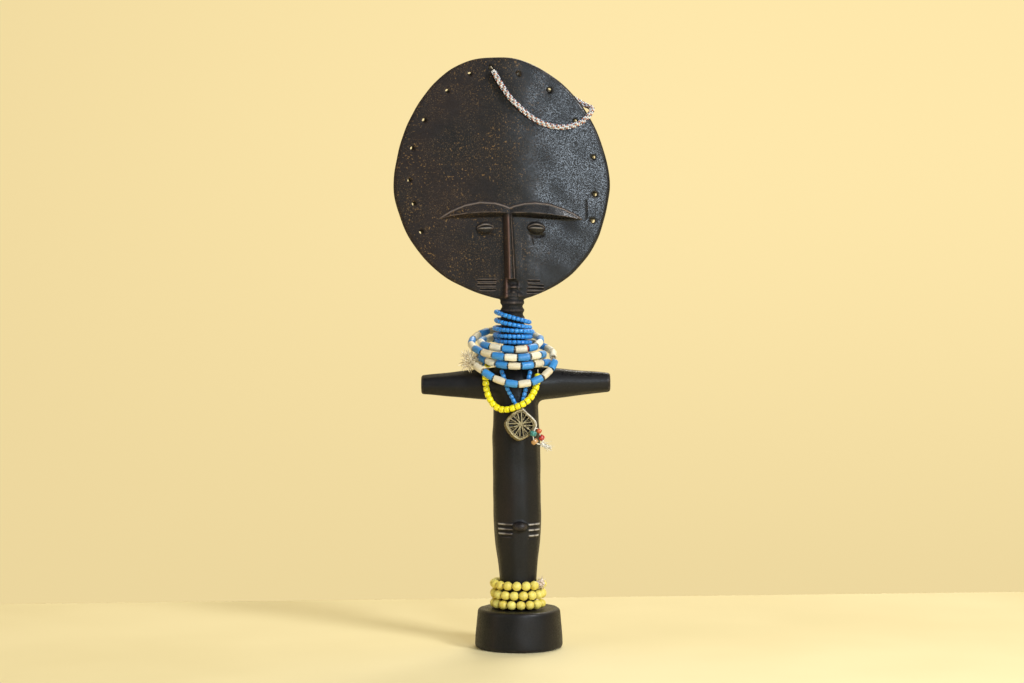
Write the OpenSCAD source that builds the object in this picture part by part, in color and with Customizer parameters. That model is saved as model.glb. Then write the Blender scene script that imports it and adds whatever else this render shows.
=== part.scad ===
// Akua'ba fertility doll: a one-piece carved figure dressed with bead strands.
// Origin: centre of the underside of the base. +X is the viewer's right, the face looks along -Y, +Z is up.

/* [Carved figure] */
// Height of the whole figure
figure_h = 380; // [376:1:384]
// Height of the round base
base_h = 25.5; // [22:0.5:25.5]
// Radius of the base at its foot
base_r = 28.5; // [24:0.5:34]
// Sideways lean of the column, in degrees towards -X
column_lean = 0.9; // [0:0.1:1.2]
// Radius of an arm at its tip
arm_tip_r = 6.3; // [4:0.1:7]
// Turn of the head about the vertical, in degrees
head_turn = 4; // [0:0.5:5]
// Thickness of the head disc at its rim
disc_rim_t = 7.4; // [6:0.2:8]
// Thickness of the head disc at its middle
disc_mid_t = 10.6; // [9:0.2:11]
// Radius of the thread holes near the rim
rim_hole_r = 1.4; // [1:0.1:1.6]

/* [Neck coil] */
// Diameter of a blue seed bead
seed_d = 2.9; // [2.4:0.1:2.9]
// Step from one seed bead to the next along the thread
seed_step = 2.86; // [2.8:0.02:3.4]
// Number of turns round the neck
coil_turns = 5; // [4:1:5]

/* [Tube bead strand] */
// Diameter of a tube bead
tube_d = 4.7; // [4:0.1:4.7]
// Length of a tube bead
tube_l = 7.2; // [6:0.1:7.2]
// Step from one tube bead to the next along the thread
tube_step = 8.2; // [8.2:0.1:9]

/* [Yellow strand] */
// Diameter of a yellow bead
yellow_d = 4.4; // [3.6:0.1:4.4]
// Length of a yellow bead
yellow_l = 3; // [2.4:0.1:3]
// Step from one yellow bead to the next along the thread
yellow_step = 3.6; // [3.5:0.1:4.4]

/* [Pendant] */
// Width of the brass pendant across its corners
pendant_w = 20; // [18:0.5:20]
// Thickness of the brass pendant
pendant_t = 6.4; // [5:0.2:6.4]
// Number of spokes in the openwork front
spokes = 14; // [10:2:18]

/* [Head rope] */
// Diameter of the beaded rope on the head disc
rope_d = 3.3; // [2.6:0.1:3.4]

/* [Ankle strand] */
// Diameter of a round ankle bead
ankle_d = 5.8; // [5:0.1:5.9]
// Radius of the ankle strand's thread round the column
ankle_path_r = 15.5; // [15.4:0.1:17]

/* [Hidden] */
$fn = 48;

wood = [0.12, 0.09, 0.08];
sky_blue = [0.16, 0.48, 0.80];
cream = [0.90, 0.88, 0.80];
thread_white = [0.85, 0.82, 0.74];

thread_r = 0.3;
thread_sides = 8;

// Leaning column: its axis foot, and where the neck axis stands
column_x = 0.2;
neck_low = [-3.0, 0, 180];
neck_high = [-4.4, 0, 226];
neck_lean = atan2(neck_low[0] - neck_high[0], neck_high[2] - neck_low[2]);
neck_ring_pitch = 4.9;
neck_groove_r = 6.8;
neck_crest_r = 7.9;

// Head disc: its turning axis, and half of its outline on each side, as [x, z]
head_x = -6.5;
disc_low_z = 224.2;
disc_drawn_top = 380;
disc_outline = [
    [-22, 379.6], [-37.3, 376.1], [-52.1, 365.8], [-64.4, 350.4], [-74.6, 329.8], [-80.4, 304.1],
    [-79.8, 288.6], [-70.1, 262.9], [-52.1, 242.3], [-34.7, 232], [-20, 226.8], [-11, 224.2],
    [1.5, 224.2], [9, 226.8], [21.2, 232], [36, 242.3], [50.8, 262.9], [57.6, 288.6],
    [58.6, 304.1], [51.5, 329.8], [39.9, 350.4], [24.5, 365.8], [7.1, 376.1], [-3, 379.6]
];
rim_holes = [
    [-32, 369.8], [-46.6, 358.8], [-61.5, 339.8], [-69.3, 321.7], [-71.3, 301], [-68.4, 285.8],
    [-63.6, 267.7], [-18.4, 373.4], [-0.4, 370.3], [19.7, 359.7], [36.9, 339.8], [48.8, 316.3],
    [49.6, 292.1], [48.2, 274.9]
];
// Height on the disc when the figure is taller or shorter than the outline is drawn
function disc_z(z) = disc_low_z + (z - disc_low_z) * (figure_h - disc_low_z) / (disc_drawn_top - disc_low_z);
brow_z = 278;
eye_places = [[-21.8, 270.8], [11.1, 270.8]];

// Route of the tube bead strand above the shoulders, from its right end round the back three times
tube_route = [
    [21.9, -7.5, 187.4], [21.2, 0, 191.2], [16, 9, 194], [7, 16.5, 196.5], [-5, 19.5, 198],
    [-16, 16.5, 198.8], [-22.5, 8, 198.6], [-24.3, -1, 197.2], [-22, -9, 195.6], [-16.3, -14.8, 194.6],
    [-8.5, -18, 193.5], [0.5, -18, 193.2], [8.4, -13.8, 194.2], [12.8, -6, 196.8], [13.5, 3.5, 199.4],
    [9.5, 12.5, 201.2], [0, 18.5, 203], [-12, 20.4, 204.2], [-22.4, 16.2, 203], [-28.8, 7.5, 199.6],
    [-30.6, -2, 195.8], [-26.4, -11.8, 192.6], [-19.4, -17.9, 190.3], [-10.9, -21.6, 188.7],
    [-2.2, -22.6, 188.2], [6, -20.8, 188.6], [12.6, -15.5, 189.5], [15.4, -8, 189.8], [15.2, -0.5, 188.8],
    [12.5, 7.5, 188], [5, 15, 187.8], [-5, 18, 187.8], [-16, 15.8, 188], [-23.2, 9.2, 188.2],
    [-25.8, 1, 188.2], [-24.4, -7, 187.2], [-19.8, -13.8, 185.6], [-12.8, -18.8, 183.9],
    [-5.1, -21, 182.9], [3.8, -20.8, 183], [11.6, -16.4, 184], [17, -9.6, 184.4], [19.4, -2.5, 183.7],
    [19.4, 6.2, 183.6], [13, 15.6, 183.2], [3, 21.4, 183], [-8, 22.8, 183], [-19, 19.4, 183.2],
    [-27.6, 11.6, 183.6], [-31.4, 3.4, 184], [-31.6, -4.4, 184.6]
];
// Route of its lowest loop, which hangs free on the chest
tube_drop_route = [
    [-28.2, -12.6, 182.9], [-25.6, -15.4, 181.2], [-20.1, -18.9, 177.5], [-13.2, -21.2, 174],
    [-4.2, -22.2, 171.6], [4.2, -22.2, 171.8], [11.9, -21.1, 174.1], [17.6, -18.2, 177.9],
    [21.4, -13.8, 182.4], [22.3, -11.4, 184.9], [22.7, -9.4, 187]
];
// Yellow strand: behind the neck, and the loop on the chest
yellow_route = [
    [-20.6, -8.6, 183], [-18.4, -3.2, 183.8], [-15.8, 4, 184], [-10, 11.2, 184], [-2.5, 14.1, 184],
    [5.4, 11, 184.2], [10, 4.8, 184], [11.6, -2, 183.8], [12, -8.6, 182.6]
];
yellow_drop_route = [
    [-21.1, -12.2, 180.4], [-21.3, -13, 175], [-21.2, -13.4, 170.7], [-20.4, -14, 166],
    [-18.6, -15.2, 161.2], [-15.6, -17, 157.2], [-11.6, -19, 155.1], [-7.2, -20.6, 155.1],
    [-3.1, -21.4, 156.3], [2.6, -21.4, 158.7], [6.8, -20, 162], [9.4, -18.2, 166],
    [11.1, -16.6, 170], [11.9, -15, 175], [12, -13.2, 180.2]
];
// Pendant strand: behind the neck, and the V on the chest
pendant_route = [
    [-11.6, -10.6, 182.9], [-12.3, -5, 184.8], [-11.8, 3.6, 186.1], [-5.4, 10.1, 186.9], [2.2, 9.4, 186.9],
    [6.9, 2, 186], [8, -5.4, 184.8], [7.6, -11, 182.6]
];
pendant_drop_route = [
    [-11.4, -13.6, 179.8], [-9.8, -15.9, 175.6], [-7.4, -16.6, 168], [-4.8, -17.1, 163],
    [-2.4, -17.2, 158.6], [-0.6, -17.2, 156.9], [1, -17.2, 156.9], [2.1, -17.2, 159.4],
    [3.2, -17.2, 163.8], [4.8, -17, 170], [6.4, -16, 176], [7.2, -14, 179.6]
];
pendant_bare = 1.6;

// Pendant: its centre, its tilt back and its turn
pendant_at = [0.6, -21, 145.2];
pendant_turn = [-10, 7, 8];
ring_at = [0.2, -17.2, 156.2];
ring_r = 1.5;
ring_wire_r = 0.28;

// Charm tassel: route of its cord from the pendant's ring to the frayed end
tassel_route = [
    [1.6, -19, 155.8], [3, -22.4, 155], [5.2, -24.6, 152.8], [8.4, -25.6, 150], [10.4, -26, 147.6],
    [10.8, -26.2, 145], [9.9, -26.2, 142.8], [9, -26.2, 140.2], [9.1, -26.2, 137.6], [9.9, -26.2, 135],
    [12, -26.2, 133.6], [14.6, -26.2, 133.2], [17.6, -26.1, 132], [20.6, -26, 130.6]
];
tassel_cord_r = 0.45;

// Beaded rope on the head, in the head's own frame before it is turned: front, rim and back
rope_front_route = [
    [-17.2, -7.2, 371.2], [-14.8, -7.3, 366.8], [-12.2, -7.4, 362.4], [-7.3, -7.5, 355], [-1, -7.6, 348.4],
    [5.9, -7.7, 342.4], [12.8, -7.7, 338.2], [19.7, -7.7, 335.8], [26.6, -7.6, 335], [33.5, -7.4, 335.8],
    [39.3, -7.1, 338.2], [43.6, -6.6, 341.8]
];
rope_back_route = [
    [44.5, -6.3, 342.9], [46.4, -4, 345.6], [46.9, 0, 347.6], [45, 4.6, 349], [41.4, 6.7, 351],
    [35.4, 7.2, 354.6], [27, 7.4, 359.4], [16, 7.4, 364.6], [4, 7.2, 369], [-7, 7, 371.8], [-16.8, 6.7, 373.3]
];

// How far the ends of a tube bead are rounded
tube_fullness = 0.465;

// Length of a seed bead
seed_l = seed_step - 0.36;

// Vector helpers
function unit(v) = v / norm(v);

// Point at t (0 to 1) between b and c on a smooth curve through a, b, c and d
function bend(a, b, c, d, t) =
    0.5 * (2 * b + t * (c - a) + t * t * (2 * a - 5 * b + 4 * c - d) + t * t * t * (3 * b - a - 3 * c + d));

// Smooth curve through a list of points, in the given number of steps per stretch
function smooth(pts, steps) = [
    for (i = [0:len(pts) - 2], k = [0:steps - 1])
        bend(pts[max(i - 1, 0)], pts[i], pts[i + 1], pts[min(i + 2, len(pts) - 1)], k / steps),
    pts[len(pts) - 1]
];

// Smooth closed curve through a list of points
function smooth_loop(pts, steps) = [
    for (i = [0:len(pts) - 1], k = [0:steps - 1])
        bend(pts[(i + len(pts) - 1) % len(pts)], pts[i], pts[(i + 1) % len(pts)],
             pts[(i + 2) % len(pts)], k / steps)
];

// Distance along a line of points to each of its points
function runs(p) = [
    for (i = 0, s = 0; i < len(p); s = s + (i + 1 < len(p) ? norm(p[i + 1] - p[i]) : 0), i = i + 1) s
];

// The point at distance s along a line of points p, whose distances are in d
function place(p, d, s) =
    [for (k = [0:2]) lookup(s, [for (i = [0:len(p) - 1]) [d[i], p[i][k]]])];

// Direction of the ring at point i of a line of points
function heading(p, i) = unit(p[min(i + 1, len(p) - 1)] - p[max(i - 1, 0)]);

// One ring of a tube of radius r round point i
function tube_ring(p, i, r, sides) =
    let (
        t = heading(p, i),
        side = unit(cross(t, abs(t[2]) > 0.95 ? [0, 1, 0] : [0, 0, 1])),
        up = cross(side, t)
    )
    [for (k = [0:sides - 1]) p[i] + r * (cos(360 * k / sides) * side + sin(360 * k / sides) * up)];

// A solid tube of radius r along a line of points
module tube(p, r, sides) {
    n = len(p);
    polyhedron(
        points = [for (i = [0:n - 1]) each tube_ring(p, i, r, sides)],
        faces = concat(
            [[for (k = [0:sides - 1]) k]],
            [for (i = [0:n - 2], k = [0:sides - 1])
                let (a = i * sides + k, b = i * sides + (k + 1) % sides)
                each [[a, a + sides, b + sides], [a, b + sides, b]]],
            [[for (k = [sides - 1:-1:0]) (n - 1) * sides + k]]
        )
    );
}

// Moves its children, drawn along +Z, to point p and turns them along t
module along(p, t) {
    translate(p) rotate([0, acos(t[2]), atan2(t[1], t[0])]) children();
}

// A bead with flat ends and rounded shoulders, drilled from end to end
module round_bead(d, l, bore, fullness = 0.42) {
    difference() {
        intersection() {
            cylinder(d = d, h = l, center = true);
            sphere(r = norm([d, l]) * fullness);
        }
        cylinder(d = bore, h = 2 * l, center = true);
    }
}

// A round bead that is a full ball, drilled from end to end
module ball_bead(d, bore) {
    difference() {
        sphere(d = d);
        cylinder(d = bore, h = 2 * d, center = true);
    }
}

// Beads first, first + skip, ... strung on a line of points at an even step
module strung(p, first_at, step, last_at, start = 0, skip = 1) {
    d = runs(p);
    count = floor((last_at - first_at) / step + 0.001);
    for (i = [start:skip:count]) {
        s = first_at + i * step;
        along(place(p, d, s), unit(place(p, d, s + 0.4) - place(p, d, s - 0.4))) children();
    }
}

// Total length of a line of points
function total(p) = runs(p)[len(p) - 1];

// Head frame: a point of the unturned head, turned with it
function on_head(p) = [
    head_x + (p[0] - head_x) * cos(head_turn) - p[1] * sin(head_turn),
    (p[0] - head_x) * sin(head_turn) + p[1] * cos(head_turn),
    p[2]
];

// Neck coil: height and radius of its thread after u turns, counted from the front of the first one
coil_height = [[-0.5, 215.4], [0, 213.3], [1, 208.7], [2, 205], [3, 201.2], [4, 197.5], [4.5, 195.8]];
coil_tilt = [[-0.5, 2.4], [0, 2.3], [1, 1.3], [2, 0.1], [3, -0.3], [4.5, -0.3]];
coil_radius = [[-0.5, 10.7], [0.5, 10.8], [1.25, 11], [2, 12.6], [2.5, 12.2], [3.25, 10.9], [4.5, 10.7]];
function neck_axis_x(z) = lookup(z, [[neck_low[2], neck_low[0]], [neck_high[2], neck_high[0]]]);
function coil_point(u) =
    let (z = lookup(u, coil_height), r = lookup(u, coil_radius), a = -90 + 360 * u)
    [neck_axis_x(z) + r * cos(a), r * sin(a), z - lookup(u, coil_tilt) * cos(a)];
coil_path = [for (i = [0:16 * coil_turns]) coil_point(i / 16 - 0.5)];
coil_fine = [for (i = [0:64 * coil_turns]) coil_point(i / 64 - 0.5)];

// Ankle strand: three level turns, each stepping down to the next at the back
ankle_top_z = 41.3;
ankle_pitch = 6.2;
ankle_x = -0.4;
level_part = 0.65;
function step_down(u) =
    let (f = u - floor(u))
    floor(u) + (f < level_part ? 0 : (1 - cos(180 * (f - level_part) / (1 - level_part))) / 2);
function ankle_point(u) = [
    ankle_x + ankle_path_r * cos(120 + 360 * u),
    ankle_path_r * sin(120 + 360 * u),
    ankle_top_z - ankle_pitch * step_down(u)
];
ankle_path = [for (i = [0:53]) ankle_point(i / 20)];
ankle_fine = [for (i = [0:159]) ankle_point(i / 60)];

// ---------- carved figure ----------

// The base: a short drum with softened edges
module base() {
    rotate_extrude($fn = 96) polygon([
        [0, 0], [base_r - 2, 0], [base_r - 0.5, 0.8], [base_r, 2.2],
        [base_r - 1.2, base_h - 2.6], [base_r - 1.9, base_h - 0.8], [base_r - 3.6, base_h], [0, base_h]
    ]);
}

// The column: narrow at the ankle, full at the belly, closing over the shoulders
module column() {
    translate([column_x, 0, 0]) rotate([0, -column_lean, 0]) rotate_extrude($fn = 72) polygon([
        [0, 20], [11.7, 20], [12, 40], [12.5, 48], [13.1, 54], [13.8, 59.5], [14.6, 67], [15.3, 75],
        [15.7, 87], [15.7, 137], [15, 146], [14.7, 156], [14.5, 164], [13.8, 171], [12, 176.5],
        [9.8, 180.5], [8.2, 184], [0, 184]
    ]);
}

// One arm: a cone along X from inside the chest to its rounded tip
module arm(tip_x, tip_z, side) {
    reach = abs(tip_x) - 6;
    fall = atan2(tip_z - 170.4, reach);
    translate([side * 6, 0, 170.4]) rotate([0, side * (90 - fall), 0]) rotate_extrude($fn = 64) polygon([
        [0, -6], [11.1, -6], [11.1, 8], [arm_tip_r + 0.4, reach - 5], [arm_tip_r, reach - 1.6],
        [arm_tip_r - 0.5, reach - 0.5], [arm_tip_r - 1.6, reach], [0, reach]
    ]);
}

// The ringed neck, leaning a little to the left
module neck() {
    neck_l = norm(neck_high - neck_low);
    translate(neck_low) rotate([0, -neck_lean, 0]) rotate_extrude($fn = 64) polygon(concat(
        [[0, -4], [8, -4]],
        [for (z = [-2:0.7:neck_l]) [
            (neck_groove_r + neck_crest_r) / 2
                + (neck_crest_r - neck_groove_r) / 2 * cos(360 * (z + 1.4) / neck_ring_pitch), z]],
        [[6.6, neck_l + 0.5], [6.2, neck_l + 4], [4.6, neck_l + 7], [2, neck_l + 8.4], [0, neck_l + 8.6]]
    ));
}

// The flat disc of the head, thicker in the middle
module disc() {
    mid = disc_mid_t / 2;
    rim = disc_rim_t / 2;
    difference() {
        intersection() {
            rotate([90, 0, 0]) linear_extrude(height = 14, center = true)
                polygon(smooth_loop([for (p = disc_outline) [p[0], disc_z(p[1])]], 2));
            translate([-11, 0, 303]) rotate([90, 0, 0]) rotate_extrude($fn = 64) polygon([
                [0, -mid], [26, -mid + (mid - rim) * 0.12],
                [52, -mid + (mid - rim) * 0.5], [72, -rim], [96, -rim + 0.5],
                [96, rim - 0.5], [72, rim], [52, mid - (mid - rim) * 0.5],
                [26, mid - (mid - rim) * 0.12], [0, mid]
            ]);
        }
        for (h = rim_holes)
            translate([h[0], 0, disc_z(h[1])]) rotate([90, 0, 0])
                cylinder(r = rim_hole_r, h = 20, center = true, $fn = 24);
    }
}

// The double arch of the brows
module brows() {
    translate([0, -3, 0]) rotate([90, 0, 0]) linear_extrude(height = 3.6) polygon([
        [-51.5, 276.8], [-42, 282.6], [-33, 286.2], [-25.8, 287], [-16, 285.8], [-6.9, 283.4],
        [3, 285.6], [13.1, 286.4], [22, 285.4], [31, 281.8], [40.9, 276.4],
        [26, 278.6], [10, 278.6], [-6.9, 278], [-24, 278.8], [-38, 278.6]
    ]);
}

// The long wedge of the nose
module nose() {
    translate([-6.6, 0, 0]) rotate([90, 0, 90]) linear_extrude(height = 5.2, center = true) polygon([
        [-3, brow_z + 3], [-6.4, brow_z + 3], [-7.2, brow_z - 2], [-10.6, 239.5], [-9.8, 237], [-3, 236]
    ]);
}

// An almond eye, with its slit
module eye(x, z) {
    lid_r = 6.4;
    translate([x, -3, z]) rotate([90, 0, 0]) difference() {
        linear_extrude(height = 3.8) intersection() {
            translate([0, lid_r - 3]) circle(r = lid_r);
            translate([0, 3 - lid_r]) circle(r = lid_r);
        }
        translate([-4, -0.3, 3.3]) cube([8, 0.6, 2]);
    }
}

// The mouth ledge with its two lips
module mouth() {
    translate([-3.6, -2, 0]) rotate([90, 0, 0]) for (z = [227.2, 229.6])
        translate([-3.2, z, 0]) cube([6.4, 1.6, 7]);
}

// Three cuts, used for the scars on the cheeks and beside the navel
module cuts(x_low, x_high, tops, y, depth) {
    for (z = tops)
        translate([x_low, y, z - 0.55]) cube([x_high - x_low, depth, 1.1]);
}

module carved_figure() {
    color(wood) difference() {
        union() {
            base();
            column();
            arm(-63.1, 169.6, -1);
            arm(58.9, 171.5, 1);
            neck();
            translate([head_x, 0, 0]) rotate([0, 0, head_turn]) translate([-head_x, 0, 0]) {
                disc();
                brows();
                nose();
                mouth();
                for (e = eye_places) eye(e[0], e[1]);
            }
            // navel
            translate([0.4, -13.9, 79.5]) sphere(r = 4.2, $fn = 32);
        }
        translate([head_x, 0, 0]) rotate([0, 0, head_turn]) translate([-head_x, 0, 0]) {
            cuts(-26.8, -15.1, [236.8, 233.9, 231], -7, 3);
            cuts(4.5, 15.7, [236.1, 232.5, 229.4], -7, 3);
        }
        cuts(-11.6, -4.6, [81, 77.7, 74.6], -17, 3.4);
        cuts(5.4, 11, [80.4, 76.8, 73.2], -17, 3.4);
    }
}

// ---------- neck coil ----------

module neck_coil_thread() {
    color(thread_white) tube(coil_path, thread_r, thread_sides);
}

module neck_coil_beads() {
    color(sky_blue) strung(coil_fine, 3.4, seed_step, total(coil_fine) - 3.2)
        round_bead(seed_d, seed_l, 1.3);
}

module neck_coil_knots() {
    color(thread_white) strung(coil_fine, 1.1, total(coil_fine) - 2.2, total(coil_fine) - 1.1)
        ball_bead(2, 1.1);
}

// ---------- tube bead strand ----------

tube_path = smooth(tube_route, 2);
tube_fine = smooth(tube_route, 8);
tube_first = 4.2;
tube_last = total(tube_fine) - 6;
tube_drop_path = smooth(tube_drop_route, 3);
tube_drop_fine = smooth(tube_drop_route, 8);
tube_drop_first = 4.1;

module tube_strand_thread() {
    color(thread_white) tube(tube_path, 0.4, thread_sides);
}

module tube_strand_blue_beads() {
    color(sky_blue) strung(tube_fine, tube_first, tube_step, tube_last, 2, 2)
        round_bead(tube_d, tube_l, 2.4, tube_fullness);
}

module tube_strand_white_beads() {
    color(cream) {
        strung(tube_fine, tube_first, tube_step, tube_first) round_bead(tube_d, tube_l, 2.4, tube_fullness);
        strung(tube_fine, tube_first, tube_step, tube_last, 1, 2)
            round_bead(tube_d, tube_l, 2.4, tube_fullness);
    }
}

module tube_strand_red_spacer() {
    d = runs(tube_fine);
    s = tube_first + 13.5 * tube_step;
    t = unit(place(tube_fine, d, s + 0.5) - place(tube_fine, d, s - 0.5));
    color("firebrick") along(place(tube_fine, d, s), t)
        difference() {
            cylinder(d = 2.6, h = 0.25, center = true);
            cylinder(d = 1.6, h = 2, center = true);
        }
}

module tube_strand_knot() {
    color(cream) union() {
        translate([-31.8, -7, 184.8]) sphere(r = 3.4, $fn = 24);
        translate([-32.4, -8, 184.6]) rotate([0, 196, 0]) cylinder(r1 = 2.6, r2 = 0.8, h = 5.6, $fn = 24);
        translate([-31, -7, 186]) rotate([0, 22, 0]) cylinder(r1 = 2.6, r2 = 1, h = 4.6, $fn = 24);
    }
}

module tube_drop_thread() {
    color(thread_white) tube(tube_drop_path, 0.4, thread_sides);
}

module tube_drop_blue_beads() {
    color(sky_blue) strung(tube_drop_fine, tube_drop_first, tube_step, total(tube_drop_fine) - 3.9, 1, 2)
        round_bead(tube_d, tube_l, 2.4, tube_fullness);
}

module tube_drop_white_beads() {
    color(cream) strung(tube_drop_fine, tube_drop_first, tube_step, total(tube_drop_fine) - 3.9, 0, 2)
        round_bead(tube_d, tube_l, 2.4, tube_fullness);
}

// ---------- yellow strand ----------

yellow_path = smooth(yellow_route, 3);
yellow_fine = smooth(yellow_route, 8);
yellow_drop_path = smooth(yellow_drop_route, 3);
yellow_drop_fine = smooth(yellow_drop_route, 8);

module yellow_strand_thread() {
    color(thread_white) tube(yellow_path, thread_r, thread_sides);
}

module yellow_strand_beads() {
    color("gold") strung(yellow_fine, 2, yellow_step, total(yellow_fine) - 5.6)
        round_bead(yellow_d, yellow_l, 1.7);
}

module yellow_strand_knot() {
    end = len(yellow_path) - 1;
    t = heading(yellow_path, end);
    color(thread_white) along(yellow_path[end] - 1.6 * t, t) ball_bead(2.8, 1.2);
}

module yellow_drop_thread() {
    color(thread_white) tube(yellow_drop_path, thread_r, thread_sides);
}

module yellow_drop_beads() {
    color("gold") strung(yellow_drop_fine, 2, yellow_step, total(yellow_drop_fine) - 2)
        round_bead(yellow_d, yellow_l, 1.7);
}

// ---------- pendant strand ----------

pendant_path = smooth(pendant_route, 3);
pendant_fine = smooth(pendant_route, 8);
pendant_drop_path = smooth(pendant_drop_route, 3);
pendant_left = smooth([for (i = [0:5]) pendant_drop_route[i]], 8);
pendant_right = smooth([for (i = [6:11]) pendant_drop_route[i]], 8);

module pendant_strand_thread() {
    color(thread_white) tube(pendant_path, thread_r, thread_sides);
}

module pendant_strand_beads() {
    color(sky_blue) strung(pendant_fine, 1.6, seed_step, total(pendant_fine) - 4)
        round_bead(seed_d, seed_l, 1.3);
}

module pendant_strand_knot() {
    end = len(pendant_path) - 1;
    t = heading(pendant_path, end);
    color(thread_white) along(pendant_path[end] - 1.4 * t, t) ball_bead(2.2, 1.1);
}

module pendant_drop_thread() {
    color(thread_white) tube(pendant_drop_path, 0.26, thread_sides);
}

module pendant_drop_beads() {
    color(sky_blue) {
        strung(pendant_left, 1.6, seed_step, total(pendant_left) - pendant_bare)
            round_bead(seed_d, seed_l, 1.3);
        strung(pendant_right, pendant_bare + 0.7, seed_step, total(pendant_right) - 1.4)
            round_bead(seed_d, seed_l, 1.3);
    }
}

module pendant_ring() {
    color("peru") translate(ring_at) rotate([0, 90, 0]) rotate_extrude($fn = 32)
        translate([ring_r, 0]) circle(r = ring_wire_r, $fn = 16);
}

// A plate with the pendant's outline: a square on its corner with full sides and round corners
module cushion_plate(w, t) {
    linear_extrude(height = t, center = true) intersection() {
        circle(r = w / 2, $fn = 96);
        rotate(45) translate([w * -0.46, 0]) circle(r = w * 0.86, $fn = 96);
        rotate(135) translate([w * -0.46, 0]) circle(r = w * 0.86, $fn = 96);
        rotate(225) translate([w * -0.46, 0]) circle(r = w * 0.86, $fn = 96);
        rotate(315) translate([w * -0.46, 0]) circle(r = w * 0.86, $fn = 96);
    }
}

module brass_pendant() {
    wall = 1.3;
    hub_r = 1.7;
    color([0.45, 0.38, 0.20]) union() {
        translate(pendant_at) rotate(pendant_turn) rotate([90, 0, 0]) {
            // side wall and back
            difference() {
                cushion_plate(pendant_w, pendant_t);
                translate([0, 0, 1.2]) cushion_plate(pendant_w - 2 * wall, pendant_t);
            }
            // openwork front
            intersection() {
                translate([0, 0, pendant_t / 2 - 0.6]) cushion_plate(pendant_w - wall, 1);
                translate([0, 0, pendant_t / 2 - 0.6]) union() {
                    cylinder(r = hub_r, h = 1.1, center = true);
                    for (k = [0:spokes / 2 - 1]) rotate(180 * k / (spokes / 2))
                        cube([pendant_w, 0.8, 1.1], center = true);
                }
            }
        }
        // lug for the ring
        difference() {
            hull() {
                translate([ring_at[0], ring_at[1] + 0.6, 154.9]) rotate([90, 0, 0])
                    cylinder(r = 1.55, h = 1.2);
                translate([ring_at[0] - 1.5, ring_at[1] - 0.6, 152]) cube([3, 1.2, 1]);
            }
            translate([ring_at[0], ring_at[1], 154.9]) rotate([90, 0, 0])
                cylinder(r = 0.95, h = 6, center = true);
        }
    }
}

// ---------- charm tassel ----------

tassel_path = smooth(tassel_route, 2);

module tassel_bead(i, d, l, bore) {
    along(tassel_route[i], unit(tassel_route[i + 1] - tassel_route[i - 1])) round_bead(d, l, bore);
}

module tassel_cord() {
    color(thread_white) tube(tassel_path, tassel_cord_r, thread_sides);
}

module tassel_teal_bead() {
    color("teal") tassel_bead(7, 5, 3.2, 1.6);
}

module tassel_orange_bead() {
    color("orangered") translate([12.7, -23.9, 141.6]) rotate([90, 0, 0]) round_bead(3.4, 2.8, 1.2);
}

module tassel_red_bead() {
    color("red") translate([14.3, -25, 137.4]) rotate([90, 0, 0]) round_bead(4, 3, 1.2);
}

module tassel_amber_bead() {
    color("tan") tassel_bead(9, 4.6, 3, 2.1);
}

module tassel_knot() {
    color(thread_white) tassel_bead(11, 2.8, 2.6, 1.3);
}

// ---------- head rope ----------

rope_front_path = smooth([for (p = rope_front_route) on_head(p)], 2);
rope_back_path = smooth([for (p = rope_back_route) on_head(p)], 3);

module head_rope_front() {
    color(cream) tube(rope_front_path, rope_d / 2, 8);
}

module head_rope_back() {
    color(cream) tube(rope_back_path, rope_d / 2, 8);
}

module head_rope_thread() {
    color(thread_white) tube([for (p = [
        [-17.6, -7.2, 372.2], [-18.2, -6.6, 373.2], [-18.4, -5, 373.4], [-18.4, 5.6, 373.4]
    ]) on_head(p)], 0.4, thread_sides);
}

module head_rope_knot() {
    color(thread_white) translate(on_head([-18.2, 6.6, 373.4])) sphere(r = 1.7, $fn = 24);
}

// ---------- ankle strand ----------

ankle_step = ankle_d + 0.22;
// The tie takes the place of this bead, at the front right of the top turn
ankle_tie_place = 9;
ankle_tie_s = 3.4 + ankle_tie_place * ankle_step;

module ankle_thread() {
    color(thread_white) tube(ankle_path, 0.35, thread_sides);
}

module ankle_beads() {
    color("khaki") strung(ankle_fine, 3.4, ankle_step, ankle_tie_s - 0.5 * ankle_step)
        ball_bead(ankle_d, 1.8);
    color("khaki") strung(ankle_fine, ankle_tie_s + ankle_step, ankle_step, total(ankle_fine) - 3)
        ball_bead(ankle_d, 1.8);
}

// The small knot that starts the thread at the back, and the large tie at the front right
module ankle_knot() {
    color(thread_white) translate(ankle_path[0]) along([0, 0, 0], heading(ankle_path, 0))
        translate([0, 0, -1.3]) sphere(r = 1.5, $fn = 24);
    color(thread_white) strung(ankle_fine, ankle_tie_s, ankle_step, ankle_tie_s + 0.5 * ankle_step)
        sphere(r = 2.8, $fn = 32);
}

carved_figure();
neck_coil_thread();
neck_coil_beads();
neck_coil_knots();
tube_strand_thread();
tube_strand_blue_beads();
tube_strand_white_beads();
tube_strand_red_spacer();
tube_strand_knot();
tube_drop_thread();
tube_drop_blue_beads();
tube_drop_white_beads();
yellow_strand_thread();
yellow_strand_beads();
yellow_strand_knot();
yellow_drop_thread();
yellow_drop_beads();
pendant_strand_thread();
pendant_strand_beads();
pendant_strand_knot();
pendant_drop_thread();
pendant_drop_beads();
pendant_ring();
brass_pendant();
tassel_cord();
tassel_teal_bead();
tassel_orange_bead();
tassel_red_bead();
tassel_amber_bead();
tassel_knot();
head_rope_front();
head_rope_back();
head_rope_thread();
head_rope_knot();
ankle_thread();
ankle_beads();
ankle_knot();
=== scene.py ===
import math

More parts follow.
